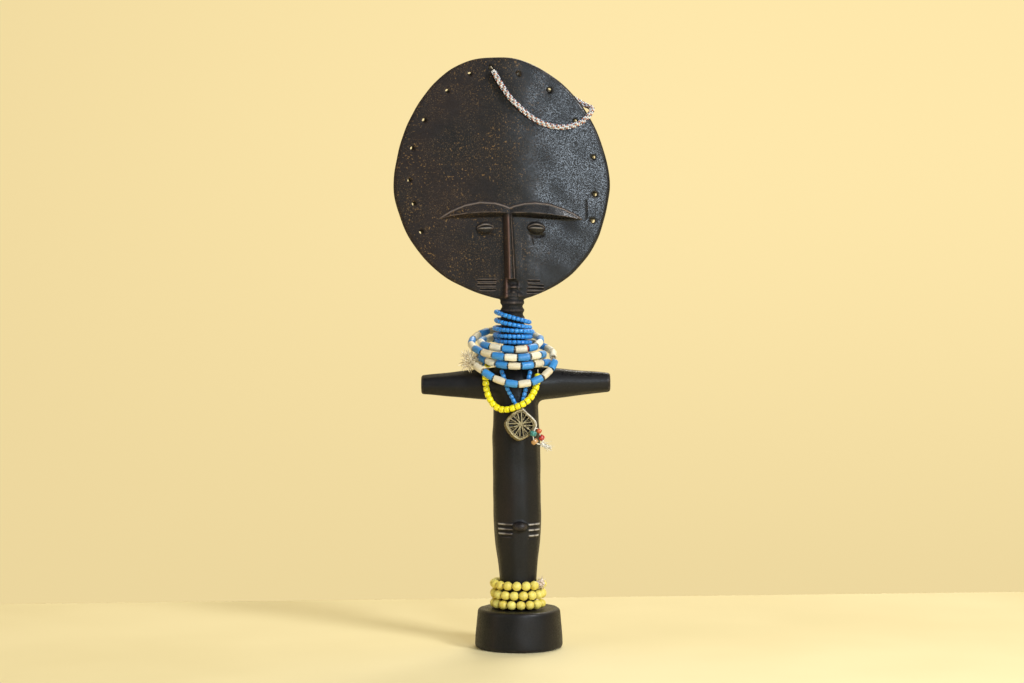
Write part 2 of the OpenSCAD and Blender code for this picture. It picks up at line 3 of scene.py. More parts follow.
import bmesh
import bpy
import numpy as np
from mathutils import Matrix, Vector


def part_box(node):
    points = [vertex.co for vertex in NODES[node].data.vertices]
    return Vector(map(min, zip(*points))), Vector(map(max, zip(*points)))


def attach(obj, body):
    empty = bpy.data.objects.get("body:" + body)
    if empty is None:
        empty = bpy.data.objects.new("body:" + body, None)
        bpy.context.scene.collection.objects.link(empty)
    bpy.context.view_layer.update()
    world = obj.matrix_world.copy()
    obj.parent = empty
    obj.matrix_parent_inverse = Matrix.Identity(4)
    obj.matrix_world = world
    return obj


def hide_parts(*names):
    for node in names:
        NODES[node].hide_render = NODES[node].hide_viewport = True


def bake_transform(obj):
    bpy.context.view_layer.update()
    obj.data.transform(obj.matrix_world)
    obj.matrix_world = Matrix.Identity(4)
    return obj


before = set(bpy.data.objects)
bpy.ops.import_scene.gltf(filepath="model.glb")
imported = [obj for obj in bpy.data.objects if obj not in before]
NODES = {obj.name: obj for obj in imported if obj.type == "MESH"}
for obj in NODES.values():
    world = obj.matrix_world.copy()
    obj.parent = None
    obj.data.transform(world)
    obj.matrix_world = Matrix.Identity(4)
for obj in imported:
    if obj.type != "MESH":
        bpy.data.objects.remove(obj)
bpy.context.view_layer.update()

import openvdb
from mathutils import Matrix, Vector

# Lengths below are in millimetres and become metres when an object is made.
MM = 0.001
rng = np.random.default_rng(7)


# ---------- general helpers ----------

def clamp01(value):
    return np.clip(value, 0.0, 1.0)


def step(low, high, value):
    """Smooth rise from 0 at low to 1 at high."""
    t = clamp01((value - low) / (high - low))
    return t * t * (3 - 2 * t)


def bell(value, width):
    return np.exp(-(value / width) ** 2)


def unit(v):
    return np.asarray(v, float) / np.linalg.norm(v)


def catmull(points, steps, closed=False):
    """Smooth curve through points, the same one that the CAD model uses."""
    p = np.asarray(points, float)
    n = len(p)
    count = n if closed else n - 1
    out = []
    for i in range(count):
        near = [i - 1, i, i + 1, i + 2]
        near = [k % n for k in near] if closed else [min(max(k, 0), n - 1) for k in near]
        a, b, c, d = p[near]
        for k in range(steps):
            t = k / steps
            out.append(0.5 * (2 * b + t * (c - a) + t * t * (2 * a - 5 * b + 4 * c - d)
                              + t ** 3 * (3 * b - a - 3 * c + d)))
    if not closed:
        out.append(p[-1])
    return np.array(out)


def resample(path, spacing):
    """The same line with points an even spacing apart."""
    d = np.concatenate([[0], np.cumsum(np.linalg.norm(np.diff(path, axis=0), axis=1))])
    s = np.linspace(0, d[-1], max(2, int(round(d[-1] / spacing)) + 1))
    return np.stack([np.interp(s, d, path[:, k]) for k in range(3)], 1)


def length_of(path):
    return float(np.linalg.norm(np.diff(path, axis=0), axis=1).sum())


def frames_along(path):
    """Unit tangents and two unit normals that don't twist along the path."""
    t = np.gradient(path, axis=0)
    t /= np.linalg.norm(t, axis=1)[:, None]
    first = np.cross(t[0], [0, 0, 1.0] if abs(t[0][2]) < 0.9 else [0, 1.0, 0])
    side = [unit(first)]
    for i in range(1, len(path)):
        s = side[-1] - t[i] * side[-1].dot(t[i])
        side.append(unit(s))
    side = np.array(side)
    return t, side, np.cross(t, side)


class Shape:
    """Vertices, faces and named per-vertex numbers, gathered before a mesh is made."""

    def __init__(self):
        self.verts = []
        self.faces = []
        self.marks = {}
        self.count = 0

    def add(self, verts, faces, **marks):
        verts = np.asarray(verts, float)
        self.verts.append(verts)
        self.faces += [tuple(i + self.count for i in f) for f in faces]
        for name in set(marks) | set(self.marks):
            rows = self.marks.setdefault(name, [np.zeros(self.count)] if self.count else [])
            rows.append(np.broadcast_to(np.asarray(marks.get(name, 0.0), float), (len(verts),)))
        self.count += len(verts)

    def build(self, name, mat):
        mesh = bpy.data.meshes.new(name)
        mesh.from_pydata((np.concatenate(self.verts) * MM).tolist(), [], self.faces)
        for mark, rows in self.marks.items():
            layer = mesh.attributes.new(mark, "FLOAT", "POINT")
            layer.data.foreach_set("value", np.concatenate(rows).astype(np.float32))
        return make_object(name, mesh, mat)


def make_object(name, mesh, mat):
    mesh.polygons.foreach_set("use_smooth", [True] * len(mesh.polygons))
    mesh.materials.append(mat)
    mesh.update()
    obj = bpy.data.objects.new(name, mesh)
    bpy.context.scene.collection.objects.link(obj)
    return obj


def wall(rows, sides, closed, flip=False):
    """Four-sided faces between rows of a tube: rows run along it, sides go round it."""
    faces = []
    for i in range(rows if closed else rows - 1):
        j = (i + 1) % rows
        for k in range(sides):
            m = (k + 1) % sides
            face = (i * sides + k, i * sides + m, j * sides + m, j * sides + k)
            faces.append((face[0], face[3], face[2], face[1]) if flip else face)
    return faces


def hand_over(shape, name, mat, body, node):
    """Builds the shape as one piece that rides on body, in place of the CAD node."""
    obj = shape.build(name, mat)
    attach(obj, body)
    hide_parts(node)
    return obj


def sweep(path, radius, sides, squash=1.0):
    """Vertices and faces of a closed-ended tube along path; radius is a number or one per point."""
    t, side, up = frames_along(path)
    n = len(path)
    radius = np.broadcast_to(np.asarray(radius, float), (n,))
    a = np.arange(sides) * 2 * math.pi / sides
    ring = np.cos(a)[None, :, None] * side[:, None, :] + squash * np.sin(a)[None, :, None] * up[:, None, :]
    verts = (path[:, None, :] + radius[:, None, None] * ring).reshape(-1, 3)
    faces = wall(n, sides, closed=False)
    faces.append(tuple(range(sides))[::-1])
    faces.append(tuple((n - 1) * sides + k for k in range(sides)))
    return verts, faces


def ring_sweep(points, radius, sides):
    """A tube round a closed loop of points, with frames that meet again."""
    p = np.asarray(points, float)
    t = np.roll(p, -1, 0) - np.roll(p, 1, 0)
    t /= np.linalg.norm(t, axis=1)[:, None]
    centre = p.mean(0)
    axis = unit(np.cross(p[0] - centre, p[len(p) // 4] - centre))
    side = np.cross(t, axis)
    side /= np.linalg.norm(side, axis=1)[:, None]
    up = np.cross(side, t)
    a = np.arange(sides) * 2 * math.pi / sides
    ring = np.cos(a)[None, :, None] * side[:, None, :] + np.sin(a)[None, :, None] * up[:, None, :]
    verts = (p[:, None, :] + radius * ring).reshape(-1, 3)
    return verts, wall(len(p), sides, closed=True, flip=True)


# ---------- camera ----------

def make_camera():
    data = bpy.data.cameras.new("camera")
    data.lens = 85
    data.sensor_width = 36
    data.clip_end = 30
    cam = bpy.data.objects.new("camera", data)
    bpy.context.scene.collection.objects.link(cam)
    eye = Vector((-4.5, -1556, 255)) * MM
    aim = Vector((-4.5, 0, 197.6)) * MM
    cam.location = eye
    cam.rotation_euler = (aim - eye).to_track_quat("-Z", "Y").to_euler()
    bpy.context.scene.camera = cam


make_camera()


# ---------- material helpers ----------

class Paint:
    """A node material under construction: each call adds one node and returns its output."""

    def __init__(self, name, **fixed):
        self.mat = bpy.data.materials.new(name)
        self.mat.use_nodes = True
        self.tree = self.mat.node_tree
        self.shader = self.tree.nodes["Principled BSDF"]
        self.coords = self.tree.nodes.new("ShaderNodeTexCoord").outputs["Object"]
        for socket, value in fixed.items():
            self.shader.inputs[socket.replace("_", " ")].default_value = value

    def node(self, kind, inputs=(), **settings):
        made = self.tree.nodes.new(kind)
        for key, value in settings.items():
            setattr(made, key, value)
        for key, value in dict(inputs).items():
            if isinstance(value, bpy.types.NodeSocket):
                self.tree.links.new(value, made.inputs[key])
            else:
                made.inputs[key].default_value = value
        return made

    def noise(self, scale, detail=4.0, roughness=0.5, stretch=(1, 1, 1), distortion=0.0):
        spot = self.coords
        if stretch != (1, 1, 1):
            spot = self.node("ShaderNodeMapping", {"Vector": spot, "Scale": stretch}).outputs[0]
        made = self.node("ShaderNodeTexNoise", {"Vector": spot, "Scale": scale, "Detail": detail,
                                                "Roughness": roughness, "Distortion": distortion})
        return made.outputs["Fac"]

    def mark(self, name):
        return self.node("ShaderNodeAttribute", attribute_name=name).outputs["Fac"]

    def axis(self, name):
        return self.node("ShaderNodeSeparateXYZ", {"Vector": self.coords}).outputs[name]

    def span(self, value, low, high, to_low=0.0, to_high=1.0):
        made = self.node("ShaderNodeMapRange", {"Value": value, "From Min": low, "From Max": high,
                                                "To Min": to_low, "To Max": to_high})
        made.interpolation_type = "SMOOTHSTEP"
        return made.outputs["Result"]

    def sum(self, operation, a, b):
        made = self.node("ShaderNodeMath", {0: a, 1: b}, operation=operation)
        return made.outputs[0]

    def times(self, *values):
        out = values[0]
        for value in values[1:]:
            out = self.sum("MULTIPLY", out, value)
        return out

    def blend(self, amount, low, high):
        made = self.node("ShaderNodeMix", data_type="RGBA")
        for socket, value in ((made.inputs[0], amount), (made.inputs[6], low), (made.inputs[7], high)):
            if isinstance(value, bpy.types.NodeSocket):
                self.tree.links.new(value, socket)
            elif isinstance(value, tuple):
                socket.default_value = (*value, 1.0)
            else:
                socket.default_value = value
        return made.outputs[2]

    def bump(self, height, depth_mm, strength=1.0, under=None):
        inputs = {"Height": height, "Distance": depth_mm * MM, "Strength": strength}
        if under is not None:
            inputs["Normal"] = under
        return self.node("ShaderNodeBump", inputs).outputs["Normal"]

    def finish(self, **links):
        for socket, value in links.items():
            self.tree.links.new(value, self.shader.inputs[socket.replace("_", " ")])
        return self.mat


# ---------- materials ----------

def dark_wood():
    """Blackened wood: polished on the right, dull with ochre specks on the left, worn at its edges; with
    painted light too: reddish lit facets, pale glints, a sheen low on the left, and shade in the hollows.
    """
    p = Paint("dark_wood", Coat_Weight=0.0, Specular_IOR_Level=0.36)
    x = p.axis("X")
    z = p.axis("Z")
    patches = p.noise(34, 5, 0.6)
    base = p.blend(p.span(patches, 0.35, 0.7), (0.0026, 0.0028, 0.0036), (0.0056, 0.0048, 0.0052))
    left = p.span(x, 0.006, -0.055)
    high = p.span(z, 0.20, 0.26)
    warm = p.times(left, high, p.span(p.noise(26, 3), 0.30, 0.60))
    base = p.blend(warm, base, (0.0125, 0.0066, 0.0056))
    # Streaky lighter colour low on the figure: a stain, strengthened on the left where it is a painted sheen.
    low = p.span(z, 0.19, 0.14)
    streaks = p.span(p.noise(70, 4, 0.6, (1, 1, 0.3)), 0.40, 0.70)
    stain_and_left_sheen = p.times(low, streaks, p.span(x, 0.004, -0.010, 0.25, 0.9))
    base = p.blend(stain_and_left_sheen, base, (0.0145, 0.0088, 0.0074))
    worn = p.times(p.mark("edge"), p.span(p.noise(210, 4), 0.25, 0.62))
    base = p.blend(worn, base, (0.120, 0.088, 0.074))
    # Reddish mark: rubbing wear, together with painted light on the nose's lit left facet and painted
    # highlights along the nose ridge and the brow crest.
    base = p.blend(p.mark("rubbed_and_lit"), base, (0.165, 0.088, 0.070))
    # Pale colour: painted glints on the brow crest, the eye lids and slits, the lips of the cheek cuts and
    # the belly scars.
    base = p.blend(p.mark("pale"), base, (0.46, 0.42, 0.37))
    where = p.span(p.noise(48, 4, 0.62), 0.40, 0.58)
    region = p.times(p.span(x, 0.030, -0.012), high)
    coarse = p.times(p.span(p.noise(760, 3, 0.6), 0.590, 0.690), where, region)
    base = p.blend(coarse, base, (0.200, 0.112, 0.036))
    fine = p.times(p.span(p.noise(1500, 3, 0.6), 0.545, 0.665), p.span(p.noise(75, 3), 0.34, 0.56), region)
    base = p.blend(p.times(fine, 0.80), base, (0.105, 0.064, 0.027))
    dust = p.times(p.span(p.noise(900, 2), 0.68, 0.78), 0.16)
    base = p.blend(dust, base, (0.10, 0.09, 0.08))
    # Painted shade: the hollows are darkened.
    base = p.blend(p.times(p.mark("hollow"), 0.8), base, (0.0032, 0.0028, 0.0026))
    grain = p.noise(2100, 3, 0.7)
    pits = p.noise(1150, 3, 0.65)
    skin = p.span(p.sum("ADD", p.times(pits, 0.5), p.times(grain, 0.5)), 0.38, 0.62)
    polished = p.times(p.span(p.sum("ADD", x, p.times(p.noise(24, 4, 0.6), 0.030)), 0.000, 0.028), high)
    arms = p.times(p.span(x, 0.010, 0.030), p.span(z, 0.172, 0.177), p.span(z, 0.195, 0.185))
    body = p.times(p.span(z, 0.20, 0.17), 0.7)
    polished = p.sum("MAXIMUM", p.sum("MAXIMUM", polished, arms), body)
    rough = p.blend(polished, p.span(skin, 0, 1, 0.66, 0.84), p.span(skin, 0, 1, 0.22, 0.58))
    normal = p.bump(p.noise(46, 3, 0.5), 0.18, 0.5)
    normal = p.bump(p.noise(300, 3, 0.5, (1, 1, 0.4)), 0.02, 0.6, normal)
    normal = p.bump(pits, 0.012, 0.8, normal)
    normal = p.bump(grain, 0.008, 0.9, normal)
    return p.finish(Base_Color=base, Roughness=rough, Normal=normal)


def glass(name, colour, deep, rough=0.2, worn=0.35, coat=0.35, pit=0.05, dirt=0.72):
    """Pressed opaque glass: a tone of its own for each bead, dirt at the holes, a scuffed skin."""
    p = Paint(name, Coat_Weight=coat, Coat_Roughness=0.12, Specular_IOR_Level=0.5)
    tone = p.sum("ADD", p.times(p.mark("tone"), 0.62), p.times(p.span(p.noise(420, 3), 0.3, 0.7), 0.38))
    base = p.blend(tone, deep, colour)
    pale = tuple(min(1.0, 0.55 * c + 0.42) for c in colour)
    base = p.blend(p.times(p.span(p.noise(1500, 2), 0.62, 0.74), worn), base, pale)
    base = p.blend(p.times(p.mark("ends"), dirt), base, tuple(0.28 * c + 0.012 for c in deep))
    scuffs = p.noise(1900, 3, 0.6)
    roughness = p.span(p.noise(700, 3), 0.3, 0.72, rough, rough + 0.25)
    normal = p.bump(p.noise(260, 2), 0.12, 0.5)
    normal = p.bump(scuffs, pit, 0.6, normal)
    return p.finish(Base_Color=base, Roughness=roughness, Normal=normal)


def cream_glass():
    """Cream pressed glass, whose fine lengthwise lines are in the bead's shape; brown dirt in patches and at
    the ends; the 'groove' mark, which would darken the lines, is set on no bead.
    """
    p = Paint("white_glass", Coat_Weight=0.12, Coat_Roughness=0.3)
    base = p.blend(p.mark("tone"), (0.66, 0.56, 0.37), (0.88, 0.83, 0.66))
    base = p.blend(p.times(p.span(p.noise(900, 4, 0.65), 0.52, 0.7), 0.4), base, (0.46, 0.34, 0.17))
    base = p.blend(p.times(p.mark("ends"), 0.75), base, (0.16, 0.10, 0.045))
    base = p.blend(p.times(p.mark("groove"), 0.3), base, (0.42, 0.31, 0.16))
    rough = p.span(p.noise(700, 3), 0.3, 0.7, 0.34, 0.6)
    normal = p.bump(p.noise(1400, 4, 0.6), 0.07, 0.7)
    return p.finish(Base_Color=base, Roughness=rough, Normal=normal)


def cotton(name, colour, dirty, fibre=1600.0):
    """Twisted cotton or raffia: matt fibres with grey-brown dirt."""
    p = Paint(name, Specular_IOR_Level=0.25, Sheen_Weight=0.25, Sheen_Roughness=0.5)
    base = p.blend(p.span(p.noise(520, 4, 0.65), 0.38, 0.68), colour, dirty)
    base = p.blend(p.times(p.span(p.noise(fibre, 3), 0.5, 0.7), 0.4), base, tuple(0.45 * c for c in dirty))
    normal = p.bump(p.noise(fibre, 4, 0.7), 0.1, 0.8)
    rough = p.span(p.noise(800, 2), 0.3, 0.7, 0.72, 0.95)
    return p.finish(Base_Color=base, Roughness=rough, Normal=normal)


def aged_brass():
    """Old cast brass: olive-brown tarnish, paler where it is rubbed, dark in the corners."""
    p = Paint("brass", Coat_Weight=0.0)
    base = p.blend(p.span(p.noise(420, 5, 0.65), 0.36, 0.66), (0.085, 0.060, 0.024), (0.20, 0.152, 0.064))
    base = p.blend(p.times(p.mark("edge"), p.span(p.noise(900, 3), 0.28, 0.6)), base, (0.46, 0.39, 0.22))
    base = p.blend(p.mark("deep"), base, (0.012, 0.009, 0.005))
    base = p.blend(p.times(p.span(p.noise(1200, 3), 0.6, 0.72), 0.5), base, (0.055, 0.036, 0.016))
    metal = p.span(p.noise(500, 3), 0.3, 0.7, 0.45, 0.85)
    rough = p.span(p.noise(800, 4, 0.6), 0.3, 0.7, 0.34, 0.62)
    normal = p.bump(p.noise(700, 4, 0.6), 0.14, 0.7)
    return p.finish(Base_Color=base, Metallic=metal, Roughness=rough, Normal=normal)


def ankle_glaze():
    """Matt yellow ceramic glaze, a little uneven, with brown dirt at the holes."""
    p = Paint("ankle_glass", Coat_Weight=0.1, Coat_Roughness=0.35)
    base = p.blend(p.mark("tone"), (0.72, 0.57, 0.080), (0.86, 0.75, 0.17))
    base = p.blend(p.times(p.span(p.noise(600, 4, 0.6), 0.5, 0.72), 0.45), base, (0.88, 0.79, 0.33))
    base = p.blend(p.times(p.span(p.noise(1500, 3), 0.64, 0.76), 0.55), base, (0.36, 0.22, 0.05))
    base = p.blend(p.times(p.mark("ends"), 0.6), base, (0.26, 0.17, 0.035))
    rough = p.span(p.noise(700, 3), 0.3, 0.7, 0.36, 0.6)
    normal = p.bump(p.noise(420, 3), 0.16, 0.6)
    normal = p.bump(p.noise(1800, 3), 0.05, 0.6, normal)
    return p.finish(Base_Color=base, Roughness=rough, Normal=normal)


WOOD = dark_wood()
BLUE_SEED = glass("blue_seed", (0.040, 0.315, 0.80), (0.018, 0.205, 0.62), 0.2, 0.06, 0.3, 0.03, 0.35)
BLUE_TUBE = glass("blue_tube", (0.055, 0.305, 0.68), (0.024, 0.200, 0.52), 0.30, 0.18, 0.25, 0.07, 0.6)
CREAM = cream_glass()
RED = glass("red_glass", (0.56, 0.035, 0.022), (0.36, 0.018, 0.012), 0.25)
YELLOW = glass("yellow_glass", (0.96, 0.88, 0.012), (0.90, 0.74, 0.008), 0.24, 0.04, 0.2, 0.04, 0.5)
TEAL = glass("teal_glass", (0.055, 0.27, 0.23), (0.02, 0.13, 0.115), 0.25)
ORANGE = glass("orange_glass", (0.68, 0.16, 0.035), (0.46, 0.08, 0.018), 0.28)
AMBER = glass("amber_glass", (0.70, 0.42, 0.17), (0.48, 0.24, 0.08), 0.3)
ROPE_WHITE = glass("rope_white", (0.84, 0.85, 0.90), (0.62, 0.63, 0.70), 0.2, 0.1)
ROPE_RUST = glass("rope_rust", (0.58, 0.15, 0.055), (0.38, 0.075, 0.028), 0.22, 0.1)
ROPE_NAVY = glass("rope_navy", (0.055, 0.070, 0.150), (0.020, 0.026, 0.060), 0.2, 0.1)
ANKLE = ankle_glaze()
THREAD = cotton("cotton_thread", (0.70, 0.64, 0.52), (0.40, 0.33, 0.23))
CORD = cotton("cotton_cord", (0.88, 0.85, 0.76), (0.68, 0.61, 0.48))
PINK_COTTON = cotton("ankle_cotton", (0.84, 0.73, 0.62), (0.62, 0.48, 0.36))
RAFFIA = cotton("raffia", (0.92, 0.82, 0.60), (0.70, 0.56, 0.34), 1100.0)
BRASS = aged_brass()


def repaint(node, mat):
    """A CAD node that stays takes this material in each of its slots."""
    slots = NODES[node].material_slots
    if not slots:
        NODES[node].data.materials.append(mat)
    for one in slots:
        one.material = mat


# ---------- the head's own frame ----------

HEAD_X = -6.5
HEAD_TURN = math.radians(4)


def on_head(p):
    """A point of the unturned head, turned with it."""
    c, s = math.cos(HEAD_TURN), math.sin(HEAD_TURN)
    return [HEAD_X + (p[0] - HEAD_X) * c - p[1] * s, (p[0] - HEAD_X) * s + p[1] * c, p[2]]


def head_xy(x, y):
    """The head's own x and y of places in the common frame."""
    c, s = math.cos(HEAD_TURN), math.sin(HEAD_TURN)
    return HEAD_X + (x - HEAD_X) * c + y * s, -(x - HEAD_X) * s + y * c


# ---------- cords: the beaded rope on the head, and the pendant's tassel ----------

ROPE_FRONT_ROUTE = [
    [-17.2, -7.2, 371.2], [-14.8, -7.3, 366.8], [-12.2, -7.4, 362.4], [-7.3, -7.5, 355], [-1, -7.6, 348.4],
    [5.9, -7.7, 342.4], [12.8, -7.7, 338.2], [19.7, -7.7, 335.8], [26.6, -7.6, 335], [33.5, -7.4, 335.8],
    [39.3, -7.1, 338.2], [43.6, -6.6, 341.8],
]
ROPE_BACK_ROUTE = [
    [44.5, -6.3, 342.9], [46.4, -4, 345.6], [46.9, 0, 347.6], [45, 4.6, 349], [41.4, 6.7, 351],
    [35.4, 7.2, 354.6], [27, 7.4, 359.4], [16, 7.4, 364.6], [4, 7.2, 369], [-7, 7, 371.8],
    [-16.8, 6.7, 373.3],
]
TASSEL_ROUTE = [
    [1.6, -19, 155.8], [3, -22.4, 155], [5.2, -24.6, 152.8], [8.4, -25.6, 150], [10.4, -26, 147.6],
    [10.8, -26.2, 145], [9.9, -26.2, 142.8], [9, -26.2, 140.2], [9.1, -26.2, 137.6], [9.9, -26.2, 135],
    [12, -26.2, 133.6], [14.6, -26.2, 133.2], [17.6, -26.1, 132], [20.6, -26, 130.6],
]
NEAREST_Y = -28.3


def bead_ring(radius, half, bore, sides, around, power=2.0):
    """Template of a drilled bead along Z: vertices, faces, and how near each vertex is to the hole."""
    mid, wide = (radius + bore) / 2, (radius - bore) / 2
    a = np.arange(around) * 2 * math.pi / around
    c, s = np.cos(a), np.sin(a)
    r = mid + wide * np.sign(c) * np.abs(c) ** (2 / power)
    z = half * np.sign(s) * np.abs(s) ** (2 / power)
    ends = clamp01((mid - r) / wide + 0.15)
    b = np.arange(sides) * 2 * math.pi / sides
    verts = np.stack([np.outer(r, np.cos(b)), np.outer(r, np.sin(b)), np.outer(z, np.ones(sides))], 2)
    return verts.reshape(-1, 3), wall(around, sides, closed=True), np.repeat(ends, sides)


def turn_to(axis, spin=0.0):
    """Rotation that takes +Z to axis, after a spin about Z."""
    z = unit(axis)
    x = unit(np.cross([0, 1.0, 0] if abs(z[1]) < 0.9 else [1.0, 0, 0], z))
    y = np.cross(z, x)
    c, s = math.cos(spin), math.sin(spin)
    return np.stack([x * c + y * s, y * c - x * s, z], 1)


def put_bead(shape, template, centre, axis, scale=(1, 1, 1), lumps=0.0, **marks):
    """Adds one bead: the template turned to axis, scaled, a little out of round, at centre."""
    verts, faces, ends = template
    v = verts * np.asarray(scale, float)
    if lumps:
        angle = np.arctan2(v[:, 1], v[:, 0])
        phase = rng.uniform(0, 2 * math.pi, 2)
        swell = 1 - lumps * (0.5 + 0.5 * np.sin(2 * angle + phase[0]) * np.cos(v[:, 2] + phase[1]))
        v = v * np.stack([swell, swell, np.ones_like(swell)], 1)
    m = turn_to(axis, rng.uniform(0, 2 * math.pi))
    shape.add(v @ m.T + centre, faces, ends=ends, tone=rng.uniform(0, 1), **marks)


def head_rope():
    """A beaded rope: six tiny beads side by side round a cotton core, worked in a rising spiral."""
    front = catmull([on_head(p) for p in ROPE_FRONT_ROUTE], 6)
    back = catmull([on_head(p) for p in ROPE_BACK_ROUTE], 6)
    path = resample(np.concatenate([front, back]), 0.5)
    core_r = 1.28
    core = Shape()
    core.add(*sweep(path, core_r, 10))
    core_obj = core.build("head_rope_core", THREAD)
    tangent, side, up = frames_along(path)
    seats, seat_r, bead_r, bead_half, bore_r = 6, 1.26, 0.54, 0.45, 0.16
    rise, twist, margin = 1.06, 0.16, 0.8
    total = length_of(path)
    template = bead_ring(bead_r, bead_half, bore_r, 8, 8)
    shapes = {"white": Shape(), "rust": Shape(), "navy": Shape()}
    where = np.linspace(0, total, len(path))
    count = int((total - 2 * margin) / rise * seats)
    for k in range(count):
        s = margin + rise * k / seats
        angle = 2 * math.pi * (k % seats) / seats + twist * (k // seats)
        at = np.array([np.interp(s, where, path[:, j]) for j in range(3)])
        i = min(int(s / total * (len(path) - 1)), len(path) - 1)
        out = math.cos(angle) * side[i] + math.sin(angle) * up[i]
        step_in_run = (k * 5) % 17
        colour = "white" if step_in_run < 9 else "rust" if step_in_run < 13 else "navy"
        wob = rng.uniform(0.9, 1.0)
        put_bead(shapes[colour], template, at + seat_r * out, tangent[i] + rng.normal(0, 0.12, 3),
                 (wob, wob, rng.uniform(0.92, 1.05)))
    mats = {"white": ROPE_WHITE, "rust": ROPE_RUST, "navy": ROPE_NAVY}
    beads = [shapes[c].build(f"head_rope_{c}_beads", mats[c]) for c in shapes]
    for obj in [core_obj, *beads]:
        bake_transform(obj)
    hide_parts("head_rope_front", "head_rope_back")


def tassel():
    """A twisted cord from the pendant's ring, with its beads, a knot, and a frayed end."""
    path = resample(catmull(TASSEL_ROUTE, 8), 0.25)
    tangent, side, up = frames_along(path)
    total = length_of(path)
    s = np.linspace(0, total, len(path))
    plies, lay_length, ply_away, ply_r = 3, 2.3, 0.22, 0.24
    cord = Shape()
    for ply in range(plies):
        a = s * 2 * math.pi / lay_length + ply * 2 * math.pi / plies
        line = path + ply_away * (np.cos(a)[:, None] * side + np.sin(a)[:, None] * up)
        cord.add(*sweep(line, ply_r, 8))
    cord_obj = hand_over(cord, "tassel_twisted_cord", CORD, "tassel", "tassel_cord")
    route = np.array(TASSEL_ROUTE)

    def along(i):
        return unit(route[i + 1] - route[i - 1])

    for node, mat, axis, radius, half, slot in (
            ("tassel_teal_bead", TEAL, along(7), 2.35, 1.6, "teal_glass"),
            ("tassel_orange_bead", ORANGE, (0.5, 0.15, 0.85), 1.7, 1.4, "orange_glass"),
            ("tassel_red_bead", RED, (0.75, 0.15, -0.6), 2.0, 1.5, "red_glass"),
            ("tassel_amber_bead", AMBER, along(9), 2.3, 1.5, "amber_glass")):
        shape = Shape()
        put_bead(shape, bead_ring(radius, half, 0.62, 28, 18, 2.3), centre_of(node), axis, lumps=0.05)
        hand_over(shape, node + "_glass", mat, "tassel", node)
    knot = Shape()
    add_knot(knot, centre_of("tassel_knot"), 1.75, 0.52, along(11))
    link = [[9.7, -26.2, 142.4], [11.0, -25, 143.4], [12.4, -24.0, 142.6], [12.9, -23.9, 140.4],
            [13.5, -24.7, 138.7], [14.3, -25.0, 137.4], [15.4, -25.6, 136.0], [15.0, -26.2, 134.2]]
    knot.add(*sweep(resample(catmull(link, 6), 0.3), ply_r, 8))
    for k in range(70):
        add_fibre(knot, route[11] + rng.normal(0, 0.5, 3),
                  unit(route[13] - route[11]) + rng.normal(0, 0.13, 3),
                  rng.uniform(3.2, 7.8), rng.uniform(0.11, 0.2), 0.2)
    for k in range(18):
        add_fibre(knot, [14.8, -26.2, 134.8] + rng.normal(0, 0.35, 3),
                  unit([0.55, 0, 1.0]) + rng.normal(0, 0.2, 3),
                  rng.uniform(2.4, 4.8), 0.05, 0.35)
    for verts in knot.verts:
        np.maximum(verts[:, 1], NEAREST_Y, out=verts[:, 1])
    knot_obj = hand_over(knot, "tassel_knot_and_fray", CORD, "tassel", "tassel_knot")


def centre_of(node):
    low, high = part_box(node)
    return (np.array(low) + np.array(high)) / 2 / MM


def add_knot(shape, centre, size, cord_r, axis):
    """An overhand knot pulled tight: a trefoil of cord."""
    t = np.arange(54) * 2 * math.pi / 54
    loop = np.stack([np.sin(t) + 2 * np.sin(2 * t), np.cos(t) - 2 * np.cos(2 * t), -1.25 * np.sin(3 * t)], 1)
    loop *= (size - cord_r) / 3.0
    verts, faces = ring_sweep(loop, cord_r, 10)
    shape.add(verts @ turn_to(axis, rng.uniform(0, 6)).T + centre, faces)


def add_fibre(shape, start, direction, length, radius, curl):
    """One loose fibre: a thin tapered tube that wanders."""
    n = 7
    d = unit(direction)
    bend = rng.normal(0, curl, 3)
    p = [np.asarray(start, float)]
    for i in range(n - 1):
        d = unit(d + bend * 0.35 + rng.normal(0, curl * 0.3, 3))
        p.append(p[-1] + d * length / (n - 1))
    shape.add(*sweep(np.array(p), np.linspace(radius, radius * 0.45, n), 5))


head_rope()
tassel()


# ---------- carved figure ----------

# The figure is carved as one distance field and turned into a mesh, then the face and belly are cut finer.
VOXEL = 0.7
FIELD_LOW = np.array([-83.0, -30.0, -2.0])
FIELD_HIGH = np.array([62.0, 30.0, 382.0])
FAR = 4.0

